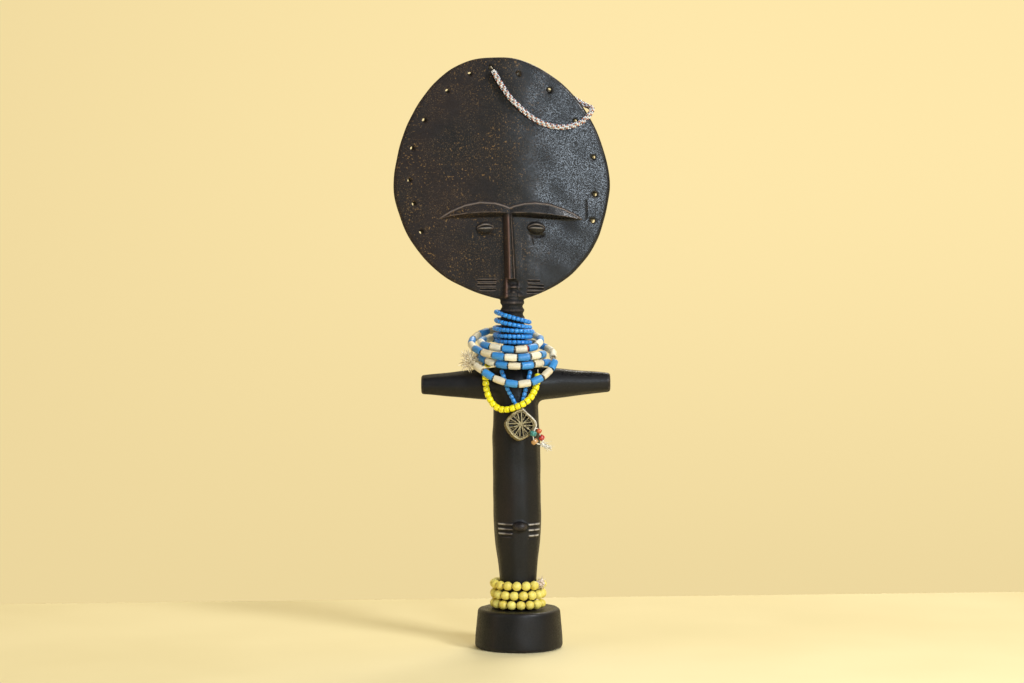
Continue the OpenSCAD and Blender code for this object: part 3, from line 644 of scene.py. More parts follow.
BASE_H, BASE_FOOT_R, BASE_TOP_R = 25.5, 28.5, 26.6
COLUMN_X, COLUMN_LEAN = 0.2, 0.0157
COLUMN_PROFILE = [
    (20, 11.7), (40, 12), (48, 12.5), (54, 13.1), (59.5, 13.8), (67, 14.6), (75, 15.3), (87, 15.7),
    (137, 15.7), (146, 15), (156, 14.7), (164, 14.5), (171, 13.8), (176.5, 12), (180.5, 9.8), (184, 8.2),
]
ARM_Z = 170.4
ARM_TIPS = [(-63.1, 169.6), (58.9, 171.5)]
ARM_PROFILE = [(0, 11.1), (0.197, 11.1), (0.918, 6.75), (1, 6.3)]
NECK_LOW, NECK_HIGH = np.array([-3.0, 0, 180]), np.array([-4.4, 0, 226])
NECK_GROOVE_R, NECK_CREST_R, NECK_PITCH = 6.8, 7.9, 4.9
DISC_OUTLINE = [
    [-22, 379.6], [-37.3, 376.1], [-52.1, 365.8], [-64.4, 350.4], [-74.6, 329.8], [-80.4, 304.1],
    [-79.8, 288.6], [-70.1, 262.9], [-52.1, 242.3], [-34.7, 232], [-20, 226.8], [-11, 224.2],
    [1.5, 224.2], [9, 226.8], [21.2, 232], [36, 242.3], [50.8, 262.9], [57.6, 288.6],
    [58.6, 304.1], [51.5, 329.8], [39.9, 350.4], [24.5, 365.8], [7.1, 376.1], [-3, 379.6],
]
DISC_MIDDLE, DISC_MID_HALF, DISC_THINNING, DISC_EDGE_ROUND = (-11.0, 303.0), 5.25, 1.6, 2.1
RIM_HOLES = [
    (-32, 369.8), (-46.6, 358.8), (-61.5, 339.8), (-69.3, 321.7), (-71.3, 301), (-68.4, 285.8),
    (-63.6, 267.7), (-18.4, 373.4), (-0.4, 370.3), (19.7, 359.7), (36.9, 339.8), (48.8, 316.3),
    (49.6, 292.1), (48.2, 274.9),
]
RIM_HOLE_R, RIM_HOLE_LEAN, RIM_HOLE_TURN, TIED_HOLE = 1.12, 0.305, 0.055, 7
NAVEL = (0.6, 79.5)


def soft_min(a, b, reach):
    h = clamp01(0.5 + 0.5 * (b - a) / reach)
    return b * (1 - h) + a * h - reach * h * (1 - h)


def rounded(q1, q2, radius):
    """Distance to a shape with two limits, its corner rounded."""
    outside = np.hypot(np.maximum(q1, 0), np.maximum(q2, 0))
    return outside + np.minimum(np.maximum(q1, q2), 0) - radius


def disc_half(x, z):
    """Half of the disc's thickness at a place on it."""
    away = np.hypot(x - DISC_MIDDLE[0], z - DISC_MIDDLE[1]) / 72
    return DISC_MID_HALF - DISC_THINNING * away ** 2


def outline_distance(x, z):
    """Signed distance in the disc's plane to its outline."""
    p = catmull(np.array([[a, 0, b] for a, b in DISC_OUTLINE]), 12, closed=True)
    p = resample(np.concatenate([p, p[:1]]), 3.0)[:-1, [0, 2]]
    for _ in range(9):
        p = (np.roll(p, 1, 0) + 2 * p + np.roll(p, -1, 0)) / 4
    grid = np.stack(np.meshgrid(x, z, indexing="ij"), 2)
    best = np.full(grid.shape[:2], 1e9)
    inside = np.zeros(grid.shape[:2], bool)
    for a, b in zip(p, np.roll(p, -1, 0)):
        e, w = b - a, grid - a
        t = clamp01((w @ e) / (e @ e))
        best = np.minimum(best, ((w - t[..., None] * e) ** 2).sum(2))
        crosses = (a[1] > grid[..., 1]) != (b[1] > grid[..., 1])
        if abs(e[1]) > 1e-9:
            inside ^= crosses & (grid[..., 0] < a[0] + e[0] * (grid[..., 1] - a[1]) / e[1])
    return np.where(inside, -1, 1) * np.sqrt(best)


class Field:
    """A block of signed distances that shapes are joined into one after another."""

    def __init__(self):
        self.size = np.ceil((FIELD_HIGH - FIELD_LOW) / VOXEL).astype(int)
        self.values = np.full(self.size, FAR, np.float32)

    def block(self, low, high):
        a = np.maximum(0, ((np.array(low) - FIELD_LOW) / VOXEL).astype(int))
        b = np.minimum(self.size, ((np.array(high) - FIELD_LOW) / VOXEL).astype(int) + 1)
        where = tuple(slice(i, j) for i, j in zip(a, b))
        x, y, z = (FIELD_LOW[k] + VOXEL * np.arange(a[k], b[k]) for k in range(3))
        return where, x[:, None, None], y[None, :, None], z[None, None, :]

    def join(self, where, distance, reach):
        self.values[where] = soft_min(self.values[where], distance.astype(np.float32), reach)

    def cut(self, where, distance, reach):
        self.values[where] = -soft_min(-self.values[where], distance.astype(np.float32), reach)


def carve_base(field):
    where, x, y, z = field.block((-30, -30, -2), (30, 30, 28))
    rounding = 2.2
    r = BASE_FOOT_R + (BASE_TOP_R - BASE_FOOT_R) * (z / BASE_H) ** 1.6
    side = np.hypot(x, y) - r + rounding
    ends = np.abs(z - BASE_H / 2) - BASE_H / 2 + rounding
    field.join(where, rounded(side, ends, rounding), 0.5)


def carve_column(field):
    where, x, y, z = field.block((-19, -18, 18), (19, 18, 188))
    heights = np.arange(14.0, 192.0, 0.5)
    table = np.interp(heights, *zip(*COLUMN_PROFILE))
    soften = np.hanning(17)
    table = np.convolve(np.pad(table, 8, "edge"), soften / soften.sum(), "valid")
    r = np.interp(z, heights, table)
    facets = 0.16 * np.cos(9 * np.arctan2(y, x) + 0.02 * z) * step(30, 60, z)
    side = np.hypot(x - COLUMN_X + COLUMN_LEAN * z, y) - r + facets + 0.16
    field.join(where, np.maximum(side, z - 184.5), 1.6)


def carve_arm(field, tip_x, tip_z):
    way = 1 if tip_x > 0 else -1
    where, x, y, z = field.block((min(tip_x, 0) - 3, -14, 156), (max(tip_x, 0) + 3, 14, 186))
    start = np.array([way * 2.0, ARM_Z])
    reach = np.array([tip_x, tip_z]) - start
    length = np.linalg.norm(reach)
    reach /= length
    s = (x - start[0]) * reach[0] + (z - start[1]) * reach[1]
    across = (z - start[1]) * reach[0] - (x - start[0]) * reach[1]
    t = clamp01(s / length)
    r = np.interp(t, *zip(*ARM_PROFILE))
    facets = 0.12 * np.cos(7 * np.arctan2(y, across))
    rounding = 1.7
    side = np.hypot(y, across) - r + facets + 0.1 + rounding
    field.join(where, rounded(side, s - length + rounding, rounding), 4.5)


def carve_neck(field):
    where, x, y, z = field.block((-16, -12, 176), (8, 12, 236))
    t = (z - NECK_LOW[2]) / (NECK_HIGH[2] - NECK_LOW[2])
    axis = NECK_LOW[0] + (NECK_HIGH[0] - NECK_LOW[0]) * t
    wave = np.cos(2 * math.pi * (z - NECK_LOW[2] + 1.4) / NECK_PITCH)
    wave = np.sign(wave) * np.abs(wave) ** 0.75
    r = (NECK_GROOVE_R + NECK_CREST_R) / 2 + (NECK_CREST_R - NECK_GROOVE_R) / 2 * wave
    r = r - 1.6 * step(226, 233, z)
    side = np.hypot(x - axis, y) - r
    field.join(where, np.maximum(side, z - 234) + 0 * x, 1.2)


def carve_disc(field):
    where, x, y, z = field.block((-83, -14, 221), (62, 14, 382))
    flat_x = np.arange(-90.0, 70.0, VOXEL)
    plan = outline_distance(flat_x, z[0, 0])
    hx, hy = head_xy(x[:, :, 0], y[:, :, 0])
    at = (hx - flat_x[0]) / VOXEL
    i = np.clip(at.astype(int), 0, len(flat_x) - 2)
    f = (at - i)[..., None]
    edge = plan[i] * (1 - f) + plan[i + 1] * f - 0.25
    hx, hy = hx[..., None], hy[..., None]
    half = disc_half(hx, z)
    near_rim = DISC_EDGE_ROUND
    body = rounded(edge + near_rim, np.abs(hy) - half + near_rim, near_rim)
    field.join(where, body, 2.6)
    for i, (hole_x, hole_z) in enumerate(RIM_HOLES):
        outward = unit([hole_x - DISC_MIDDLE[0], hole_z - DISC_MIDDLE[1]])
        lean = np.zeros(2) if i == TIED_HOLE else RIM_HOLE_LEAN * outward + [RIM_HOLE_TURN, 0.03]
        bore = np.hypot(hx - hole_x - lean[0] * hy, z - hole_z - lean[1] * hy) - RIM_HOLE_R
        field.cut(where, bore, 0.9)


def carve_navel(field):
    where, x, y, z = field.block((-8, -22, 70), (10, -8, 90))
    r = np.sqrt(((x - NAVEL[0]) / 4.9) ** 2 + ((y + 15.2) / 3.6) ** 2 + ((z - NAVEL[1]) / 3.4) ** 2)
    field.join(where, (r - 1) * 3.3, 1.3)


def knife_waves(x, y, z):
    """Low waves that a knife leaves: always inwards, so the figure keeps its outer size."""
    wave = np.sin(0.23 * x + 0.31 * y + 0.10 * z) + np.sin(0.17 * z - 0.29 * x + 1.3)
    wave = wave + np.sin(0.41 * y + 0.13 * z + 0.2 * x + 4.1) + np.sin(0.37 * z + 0.21 * x + 2.2)
    return 0.05 * (wave + 3.4)


def field_to_mesh():
    field = Field()
    carve_base(field)
    carve_column(field)
    for tip in ARM_TIPS:
        carve_arm(field, *tip)
    carve_neck(field)
    carve_navel(field)
    carve_disc(field)
    x, y, z = (FIELD_LOW[k] + VOXEL * np.arange(field.size[k]) for k in range(3))
    field.values += knife_waves(x[:, None, None], y[None, :, None], z[None, None, :]).astype(np.float32)
    band = 3 * VOXEL
    grid = openvdb.FloatGrid(band)
    grid.copyFromArray(np.clip(field.values, -band, band), tolerance=1e-4)
    points, _, quads = grid.convertToPolygons(isovalue=0.0, adaptivity=0.0)
    points = points * VOXEL + FIELD_LOW
    return points, quads


# --- relief of the face, in the head's own frame: x and z on the disc, height towards the front ---

BROW_TOP = [(-52, 276.4), (-44, 281.4), (-35, 285.2), (-25.5, 287.1), (-16, 286.6), (-10, 285),
            (-6.5, 283.5), (-3, 284.9), (3, 286.3), (10, 286.8), (19, 285.8), (28, 282.9), (35, 279.6),
            (40.6, 276.2)]
BROW_FOOT = [(-52, 276.0), (-44, 277.4), (-30, 278.2), (-16, 278.8), (-6, 279.0), (4, 278.5),
             (18, 277.4), (30, 276.5), (40.6, 275.8)]
EYES = [(-22.0, 270.6, 0.05), (10.9, 270.7, -0.04)]
EYE_HALF_W, EYE_HALF_H = 5.7, 3.9
NOSE_TOP_Z, NOSE_TIP_Z = 280.5, 237.6
CHEEK_CUTS = [(-26.8, -14.9, 236.9, 0.0), (-27.0, -15.4, 234.1, 0.0), (-25.2, -15.6, 231.2, 0.0),
              (5.6, 12.8, 236.5, -0.02), (5.9, 15.4, 234.0, -0.06), (5.6, 15.6, 231.6, -0.02),
              (5.0, 15.4, 229.3, 0.0)]


def groove(x, z, x0, x1, z0, slope, depth, wide):
    """A straight knife cut from x0 to x1 with small raised lips."""
    across = z - z0 - slope * (x - x0)
    along = step(x0 - 0.7, x0 + 0.5, x) * step(x1 + 0.7, x1 - 0.5, x)
    return along * (0.28 * depth * bell(np.abs(across) - 1.5 * wide, 0.7 * wide) - depth * bell(across, wide))


def brow_relief(x, z):
    top = np.interp(x, *zip(*BROW_TOP))
    foot = np.interp(x, *zip(*BROW_FOOT))
    tall = np.maximum(top - foot, 0.05)
    within = step(-52.5, -48, x) * step(41.2, 37, x)
    roll = (z - foot) / tall
    swell = 2.9 * clamp01(tall / 7.5) ** 0.8
    falling = 1 - 0.62 * clamp01((roll - 0.25) / 0.75) ** 1.2
    lip = swell * step(-0.10, 0.30, roll) * falling * step(0.7, -0.3, z - top)
    crest = 0.5 * bell(z - top + 0.2, 0.55)
    height = (lip + crest) * within
    fade = step(1.0, 0.45, np.abs(x + 5.7) / 47)
    sunk = -1.9 * step(0.6, -1.4, z - foot) * np.exp(-np.maximum(foot - z, 0) / 15) * fade
    return height, sunk, crest * within


def nose_relief(x, z):
    s = clamp01((NOSE_TOP_Z - z) / (NOSE_TOP_Z - NOSE_TIP_Z))
    tall = 3.1 + 3.4 * s
    left_foot, left_top = -10.5 + 0.9 * s, -7.5 + 0.8 * s
    right_top = -5.6 + 2.2 * s
    right_foot = right_top + 1.0 + 0.7 * s
    left = clamp01((x - left_foot) / (left_top - left_foot))
    right = clamp01((right_foot - x) / (right_foot - right_top))
    hollow = -0.7 * bell((x - (left_top + right_top) / 2) / (right_top - left_top + 0.4), 0.36)
    edge = 0.25 * bell(x - right_top + 0.2, 0.4)
    ends = step(NOSE_TIP_Z - 0.4, NOSE_TIP_Z + 0.7, z) * step(281.6, 279.2, z)
    height = (tall * np.minimum(left ** 0.9, right) + hollow * np.minimum(left, right) + edge) * ends
    ridge_x = -8.7 + 0.03 * (z - 226)
    below = step(225, 226.6, z) * step(241, 236.5, z)
    strip = 2.3 * bell(x - ridge_x, 1.0) * below
    # red: painted light on the lit left facet of the nose and a painted highlight along its ridge, with some
    # rubbing wear; the low strip under the nose gets the same.
    facet = step(left_foot - 0.2, left_foot + 0.8, x) * step(left_top + 1.0, left_top + 0.1, x)
    red = (0.16 * facet + 0.62 * bell(x - left_top + 0.1, 0.65)) * ends * step(279.5, 276.5, z)
    red = np.maximum(red, 0.8 * bell(x - ridge_x, 0.8) * step(225, 226.6, z) * step(240, 237, z))
    return np.maximum(height, strip), red


def eye_relief(x, z, cx, cz, tilt):
    u = (x - cx) / EYE_HALF_W
    v = (z - cz - tilt * (x - cx)) / EYE_HALF_H
    lens = np.abs(u) ** 1.8 + np.abs(v) ** 2.0
    dome = 3.3 * np.sqrt(clamp01(1 - lens))
    lid = 0.7 * bell(v - 0.60 * (1 - u ** 2), 0.15) * clamp01(1.2 - np.abs(u) * 1.15)
    gap = -1.25 * bell(v - 0.27 * (1 - u ** 2), 0.14) * step(1.0, 0.6, np.abs(u))
    bar = 0.75 * bell(v + 0.02, 0.12) * step(0.85, 0.45, np.abs(u))
    under = -0.7 * bell(v + 1.30 - 0.25 * u ** 2, 0.28) * step(1.1, 0.4, np.abs(u))
    shown = clamp01(dome)
    # worn: a painted highlight on the upper lid and the lit slit bar.
    worn = (0.55 * lid / 0.7 + 0.9 * bar / 0.75) * shown
    return dome + (lid + gap + bar) * shown + under, worn


def face_relief(x, z):
    """Height of the face over the plain disc, its reddish mark of rubbing wear and painted light on lit
    facets and ridges, and its painted glints, at a place on the disc.
    """
    height, sunk, crest = brow_relief(x, z)
    nose, red = nose_relief(x, z)
    total = np.maximum(height, nose)
    total = total + sunk * (1 - clamp01(total / 1.5))
    # pale: painted glints on the brow crest, the eyes and the lips of the cheek cuts.
    pale = 0.22 * clamp01(crest / 0.5)
    for cx, cz, tilt in EYES:
        eye, worn = eye_relief(x, z, cx, cz, tilt)
        total = total + eye
        pale = np.maximum(pale, 0.5 * worn)
    for x0, x1, z0, slope in CHEEK_CUTS:
        cut = groove(x, z, x0, x1, z0, slope, 0.95, 0.50)
        total = total + cut
        # Painted highlight on the lips of each cut.
        pale = np.maximum(pale, 0.4 * cut)
    mouth = step(-7.4, -5.8, x) * step(-0.2, -1.9, x) * step(225.2, 227.0, z) * step(237.6, 235.4, z)
    lips = bell(z - 229.6, 1.0) + bell(z - 232.8, 1.0)
    total = total + mouth * (-0.9 + 1.6 * lips * bell(x + 3.8, 2.2))
    total = total - 0.22 * bell((x - 7) - 0.22 * (268 - z), 0.5) * step(259, 261, z) * step(268.5, 266.5, z)
    total = total - 0.18 * bell(x - 0.6 - 0.05 * (279 - z), 2.4) * step(238, 246, z) * step(279, 272, z)
    total = total - 0.30 * bell(x - 43.2, 0.4) * step(275, 277.5, z) * step(290, 287, z)
    # The brow crest also gets some of the reddish colour, as a painted highlight.
    return total, clamp01(red + 0.3 * clamp01(crest / 0.5)), clamp01(pale)


# Each scar beside the navel: its two ends in x and its height
SCARS = ((-13.2, -4.0, 80.9), (-13.2, -4.0, 77.8), (-12.9, -4.4, 74.8),
         (6.2, 13.0, 80.6), (6.2, 13.0, 77.0), (6.4, 12.4, 73.4))


def belly_relief(x, z):
    """The raised scars each side of the navel: their height, and how strongly a painted glint lightens them.
    """
    lift = np.zeros_like(x)
    bright = np.zeros_like(x)
    for x0, x1, z0 in SCARS:
        along = step(x0 - 0.6, x0 + 0.6, x) * step(x1 + 0.6, x1 - 0.6, x)
        crest = bell(z - z0, 0.72) * along
        lift = lift + 0.62 * crest - 0.40 * bell(z - z0 + 1.55, 0.60) * along
        # shine and bright: a painted glint along each scar's ridge, fading to the right on the left-hand
        # scars.
        shine = step(-7.6, -10.4, x) if x0 < 0 else 1 - 0.75 * bell(x - 9.7, 0.55)
        bright = np.maximum(bright, bell(z - z0 - 0.12, 0.42) * along * (0.12 + 0.88 * shine))
    return lift, bright


def refine(bm, wanted):
    """Cuts the faces whose middle is wanted into four."""
    edges = {e for f in bm.faces if wanted(*(c / MM for c in f.calc_center_median())) for e in f.edges}
    bmesh.ops.subdivide_edges(bm, edges=list(edges), cuts=1, use_grid_fill=True)


def in_face(x, y, z):
    return y < -0.5 and -55 < x < 45 and 223.5 < z < 291


def in_face_middle(x, y, z):
    return y < -0.5 and (-29 < x < 18 and 224 < z < 287 or -52 < x < 42 and 274 < z < 289)


def in_belly(x, y, z):
    return y < -6 and -14.5 < x < 14 and 71.5 < z < 84


def vertex_data(mesh):
    """Places in millimetres and unit normals of a mesh's vertices."""
    co = np.empty(len(mesh.vertices) * 3)
    mesh.vertices.foreach_get("co", co)
    normal = np.empty(len(mesh.vertices) * 3)
    mesh.vertex_normals.foreach_get("vector", normal)
    return co.reshape(-1, 3) / MM, normal.reshape(-1, 3)


def convexity(mesh):
    """How outward-curved the surface is at each vertex, in 1 over millimetres."""
    n = len(mesh.vertices)
    co, normal = vertex_data(mesh)
    ends = np.empty(len(mesh.edges) * 2, int)
    mesh.edges.foreach_get("vertices", ends)
    a, b = ends.reshape(-1, 2).T
    d = co[b] - co[a]
    square = (d * d).sum(1) + 1e-9
    total, count = np.zeros(n), np.zeros(n)
    np.add.at(total, a, -(normal[a] * d).sum(1) / square)
    np.add.at(total, b, (normal[b] * d).sum(1) / square)
    np.add.at(count, a, 1)
    np.add.at(count, b, 1)
    curve = total / np.maximum(count, 1)
    for _ in range(3):
        total = np.zeros(n)
        np.add.at(total, a, curve[b])
        np.add.at(total, b, curve[a])
        curve = 0.5 * curve + 0.5 * total / np.maximum(count, 1)
    return curve


def carved_figure():
    points, quads = field_to_mesh()
    mesh = bpy.data.meshes.new("carved_wood")
    mesh.from_pydata((points * MM).tolist(), [], quads.tolist())
    bm = bmesh.new()
    bm.from_mesh(mesh)
    refine(bm, in_face)
    refine(bm, in_face_middle)
    refine(bm, in_belly)
    refine(bm, in_belly)
    bm.to_mesh(mesh)
    bm.free()
    mesh.update()
    co, normal = vertex_data(mesh)
    c, s = math.cos(HEAD_TURN), math.sin(HEAD_TURN)
    forward = np.array([s, -c, 0])
    hx, hy = head_xy(co[:, 0], co[:, 1])
    lift, red, pale = face_relief(hx, co[:, 2])
    facing = step(0.25, 0.75, normal @ forward) * step(-0.5, -2.0, hy)
    facing *= step(222, 226, co[:, 2]) * step(296, 292, co[:, 2])
    co += (lift * facing)[:, None] * forward
    belly = step(-2, -5, co[:, 1]) * step(90, 86, co[:, 2])
    scars, bright = belly_relief(co[:, 0], co[:, 2])
    co += (scars * belly)[:, None] * normal
    mesh.vertices.foreach_set("co", (co * MM).ravel())
    mesh.update()
    curve = convexity(mesh)
    marks = {
        "edge": clamp01((curve - 0.10) / 0.32),
        # hollow: where the wood is painted darker as shade.
        "hollow": clamp01((-curve - 0.12) / 0.5),
        # Reddish mark: rubbing wear and painted light on lit facets and ridges.
        "rubbed_and_lit": clamp01(red * facing),
        # Painted glints on the face and the belly scars.
        "pale": clamp01(np.maximum(pale * facing, bright * belly)),
    }
    for name, values in marks.items():
        layer = mesh.attributes.new(name, "FLOAT", "POINT")
        layer.data.foreach_set("value", values.astype(np.float32))
    obj = make_object("carved_wood", mesh, WOOD)
    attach(obj, "root")
    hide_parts("carved_figure")


carved_figure()


# ---------- strung beads ----------

def islands(node):
    """Each separate solid in a CAD node, as (centre, triangle normals, triangle areas)."""
    mesh = NODES[node].data
    co, _ = vertex_data(mesh)
    _, merged = np.unique(np.round(co, 3), axis=0, return_inverse=True)
    merged = merged.ravel()
    mesh.calc_loop_triangles()
    tri = np.empty(len(mesh.loop_triangles) * 3, int)
    mesh.loop_triangles.foreach_get("vertices", tri)
    tri = tri.reshape(-1, 3)
    label = np.arange(merged.max() + 1)
    corner = merged[tri]
    while True:
        low = label[corner].min(1)
        before = label.copy()
        for k in range(3):
            np.minimum.at(label, corner[:, k], low)
        label = label[label]
        if np.array_equal(before, label):
            break
    owner = label[corner[:, 0]]
    a, b, c = co[tri[:, 0]], co[tri[:, 1]], co[tri[:, 2]]
    cross = np.cross(b - a, c - a)
    area = np.linalg.norm(cross, axis=1) + 1e-12
    middle = (a + b + c) / 3
    found = []
    for one in np.unique(owner):
        own = owner == one
        weight = area[own][:, None]
        centre = (middle[own] * weight).sum(0) / weight.sum()
        found.append((centre, cross[own] / area[own][:, None], area[own]))
    return found


def drill_axis(normals, areas):
    """Axis of a solid of revolution, from how its faces point."""
    spread = (normals * areas[:, None]).T @ normals
    values, vectors = np.linalg.eigh(spread)
    return vectors[:, 2] if values[2] - values[1] > values[1] - values[0] else vectors[:, 0]


def strung_beads(node, name, body, mat, template, vary=0.05, tip=0.04, lumps=0.04, around=None):
    """One made bead for each CAD bead of a node, joined into one piece."""
    shape = Shape()
    for centre, normals, areas in islands(node):
        if around is None:
            axis = drill_axis(normals, areas)
        else:
            axis = np.cross([0, 0, 1.0], centre - np.array([around, 0, 0]))
        axis = unit(unit(axis) + rng.normal(0, tip, 3))
        wide = rng.uniform(1 - vary, 1.0)
        put_bead(shape, template, centre, axis, (wide, wide, rng.uniform(1 - vary, 1 + 0.3 * vary)), lumps)
    hand_over(shape, name, mat, body, node)


def tube_bead(ribs=0):
    """Template of a long bead with round shoulders; ribs gives the cream ones their fine lines."""
    verts, faces, ends = bead_ring(2.48, 3.95, 1.15, 36, 26, 4.2)
    belly = 1 - 0.05 * (verts[:, 2] / 3.95) ** 2
    verts = verts * np.stack([belly, belly, np.ones_like(belly)], 1)
    if ribs:
        angle = np.arctan2(verts[:, 1], verts[:, 0])
        rib = 1 - 0.010 * (0.5 + 0.5 * np.cos(ribs * angle))
        verts = verts * np.stack([rib, rib, np.ones_like(rib)], 1)
    near_tip = clamp01((np.abs(verts[:, 2]) - 3.6) / 0.4)
    return verts, faces, np.maximum(ends * clamp01((np.abs(verts[:, 2]) - 3.3) / 0.4), 0.8 * near_tip)


def ball_bead(radius, bore, sides, rings):
    """Template of a drilled ball with a worn rim round its hole."""
    start = math.asin(bore / radius)
    a = np.linspace(start, math.pi - start, rings)
    r, z = radius * np.sin(a), radius * np.cos(a)
    r = np.concatenate([r, [bore * 0.8, bore * 0.8]])
    z = np.concatenate([z, [z[-1] * 0.8, z[0] * 0.8]])
    b = np.arange(sides) * 2 * math.pi / sides
    verts = np.stack([np.outer(r, np.cos(b)), np.outer(r, np.sin(b)), np.outer(z, np.ones(sides))], 2)
    ends = clamp01((bore + 0.55 - r) / 0.55)
    return verts.reshape(-1, 3), wall(len(r), sides, closed=True, flip=True), np.repeat(ends, sides)


SEED = bead_ring(1.5, 1.4, 0.45, 20, 16, 2.05)
YELLOW_BEAD = bead_ring(2.25, 1.72, 0.7, 28, 20, 2.5)
for node, body in (("neck_coil_beads", "neck_coil"), ("pendant_strand_beads", "root"),
                   ("pendant_drop_beads", "pendant_loop")):
    strung_beads(node, node.replace("_beads", "_glass_seeds"), body, BLUE_SEED,
                 SEED, 0.06, 0.05)
for part, body in (("tube_strand", "root"), ("tube_drop", "tube_loop")):
    strung_beads(part + "_blue_beads", part + "_blue_glass", body, BLUE_TUBE,
                 tube_bead(), 0.04, 0.02, 0.02)
    strung_beads(part + "_white_beads", part + "_cream_glass", body, CREAM,
                 tube_bead(30), 0.04, 0.02, 0.02)
for part, body in (("yellow_strand", "root"), ("yellow_drop", "yellow_loop")):
    strung_beads(part + "_beads", part + "_glass", body, YELLOW, YELLOW_BEAD, 0.06, 0.05)
strung_beads("tube_strand_red_spacer", "tube_strand_red_disc", "root", RED,
             bead_ring(2.3, 0.34, 0.8, 28, 12, 2.6), 0.0, 0.0)
ANKLE_X = -0.4
strung_beads("ankle_beads", "ankle_glazed_beads", "ankle_strand", ANKLE,
             ball_bead(3.05, 0.62, 32, 22), 0.035, 0.06, 0.03, around=ANKLE_X)


# ---------- threads and knots ----------

for node in ("neck_coil_thread", "tube_strand_thread", "tube_drop_thread", "yellow_strand_thread",
             "yellow_drop_thread", "pendant_strand_thread", "pendant_drop_thread", "head_rope_thread",
             "ankle_thread"):
    repaint(node, THREAD)
repaint("pendant_ring", BRASS)


def small_knot(node, name, body, mat, size, cord_r, axis, tails=10):
    """A pulled-tight knot with a few short frayed tails, in place of a CAD knot."""
    shape = Shape()
    spots = [centre for centre, _, _ in islands(node)]
    for centre in spots:
        add_knot(shape, centre, size, cord_r, axis)
        for _ in range(tails):
            add_fibre(shape, centre + rng.normal(0, 0.25 * size, 3), unit(axis) * rng.choice([-1, 1])
                      + rng.normal(0, 0.4, 3), rng.uniform(0.8, 1.5) * size, 0.09, 0.3)
    hand_over(shape, name, mat, body, node)


small_knot("neck_coil_knots", "neck_coil_thread_knots", "neck_coil", THREAD,
           1.3, 0.34, (1, 0, 0.2))
small_knot("yellow_strand_knot", "yellow_strand_thread_knot", "root", THREAD,
           1.7, 0.42, (0, 1, 0.4))
small_knot("pendant_strand_knot", "pendant_strand_thread_knot", "root", THREAD,
           1.4, 0.36, (0, 1, 0.4))
small_knot("head_rope_knot", "head_rope_tie_knot", "root", THREAD, 2.1, 0.6, (0, 1, 0))


# A solid of the node with less surface than this, in square millimetres, is the small start knot
START_KNOT_AREA = 40


def ankle_tie():
    """The ankle strand's frayed cotton tie at the front right, and the small knot at its start."""
    shape = Shape()
    low, high = (np.array(c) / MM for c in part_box("ankle_knot"))
    for spot, _, areas in islands("ankle_knot"):
        if areas.sum() < START_KNOT_AREA:
            add_knot(shape, spot, 1.6, 0.45, (1, 0, 0.3))
            continue
        out = unit(spot - np.array([ANKLE_X, 0, spot[2]]))
        along = np.cross((0, 0, 1), out)
        middle = spot + 0.6 * out + np.array([0, 0, 0.9])
        add_knot(shape, middle, 3.1, 0.85, out)
        add_knot(shape, middle - 1.5 * along + np.array([0, 0, 0.4]), 2.3, 0.65, along)
        add_knot(shape, middle + 1.6 * along, 2.2, 0.60, (0.2, 0.3, 1))
        for side, count, reach in ((-1, 44, 4.6), (1, 52, 4.8)):
            for _ in range(count):
                way = side * along + np.array([0, 0, 0.35]) + 0.25 * out + rng.normal(0, 0.55, 3)
                add_fibre(shape, middle + rng.normal(0, 0.9, 3), way,
                          rng.uniform(0.5, 1.0) * reach, 0.20, 0.9)
    for verts in shape.verts:
        np.clip(verts, low - 3.0, high + 3.0, out=verts)
    hand_over(shape, "ankle_cotton_tie", PINK_COTTON, "ankle_strand", "ankle_knot")


ankle_tie()


def raffia_tie():
    """The tube strand's ends: two strands knotted together, and a brush of raffia ends."""
    shape = Shape()
    low, high = (np.array(c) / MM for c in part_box("tube_strand_knot"))
    middle = np.array([-31.0, -8.2, 185.2])
    add_knot(shape, middle, 3.3, 0.85, (0.2, 1, 0.3))
    add_knot(shape, middle + np.array([-1.2, -0.6, 1.6]), 2.4, 0.6, (1, 0.2, 0.3))
    bundles = (((-0.80, -0.35, -0.45), 60, 7.2), ((-0.45, -0.3, 0.80), 54, 7.0),
               ((0.75, -0.4, 0.55), 50, 7.5), ((-0.25, -0.5, -0.9), 40, 6.5))
    for direction, count, reach in bundles:
        for _ in range(count):
            start = middle + rng.normal(0, 1.1, 3)
            way = unit(direction) + rng.normal(0, 0.30, 3)
            add_fibre(shape, start, way, rng.uniform(0.6, 1.15) * reach, rng.uniform(0.26, 0.44), 1.15)
    for verts in shape.verts:
        np.clip(verts, low - [4.0, 3.0, 3.0], high + [5.0, 1.0, 4.5], out=verts)
    hand_over(shape, "tube_strand_raffia_tie", RAFFIA, "root", "tube_strand_knot")


raffia_tie()


# ---------- brass pendant ----------

PENDANT_AT = np.array([0.6, -21.0, 145.2])
PENDANT_TURN = (-10, 7, 8)
PENDANT_HALF = 10.0
LUG_AT = np.array([0.2, -17.2, 154.9])


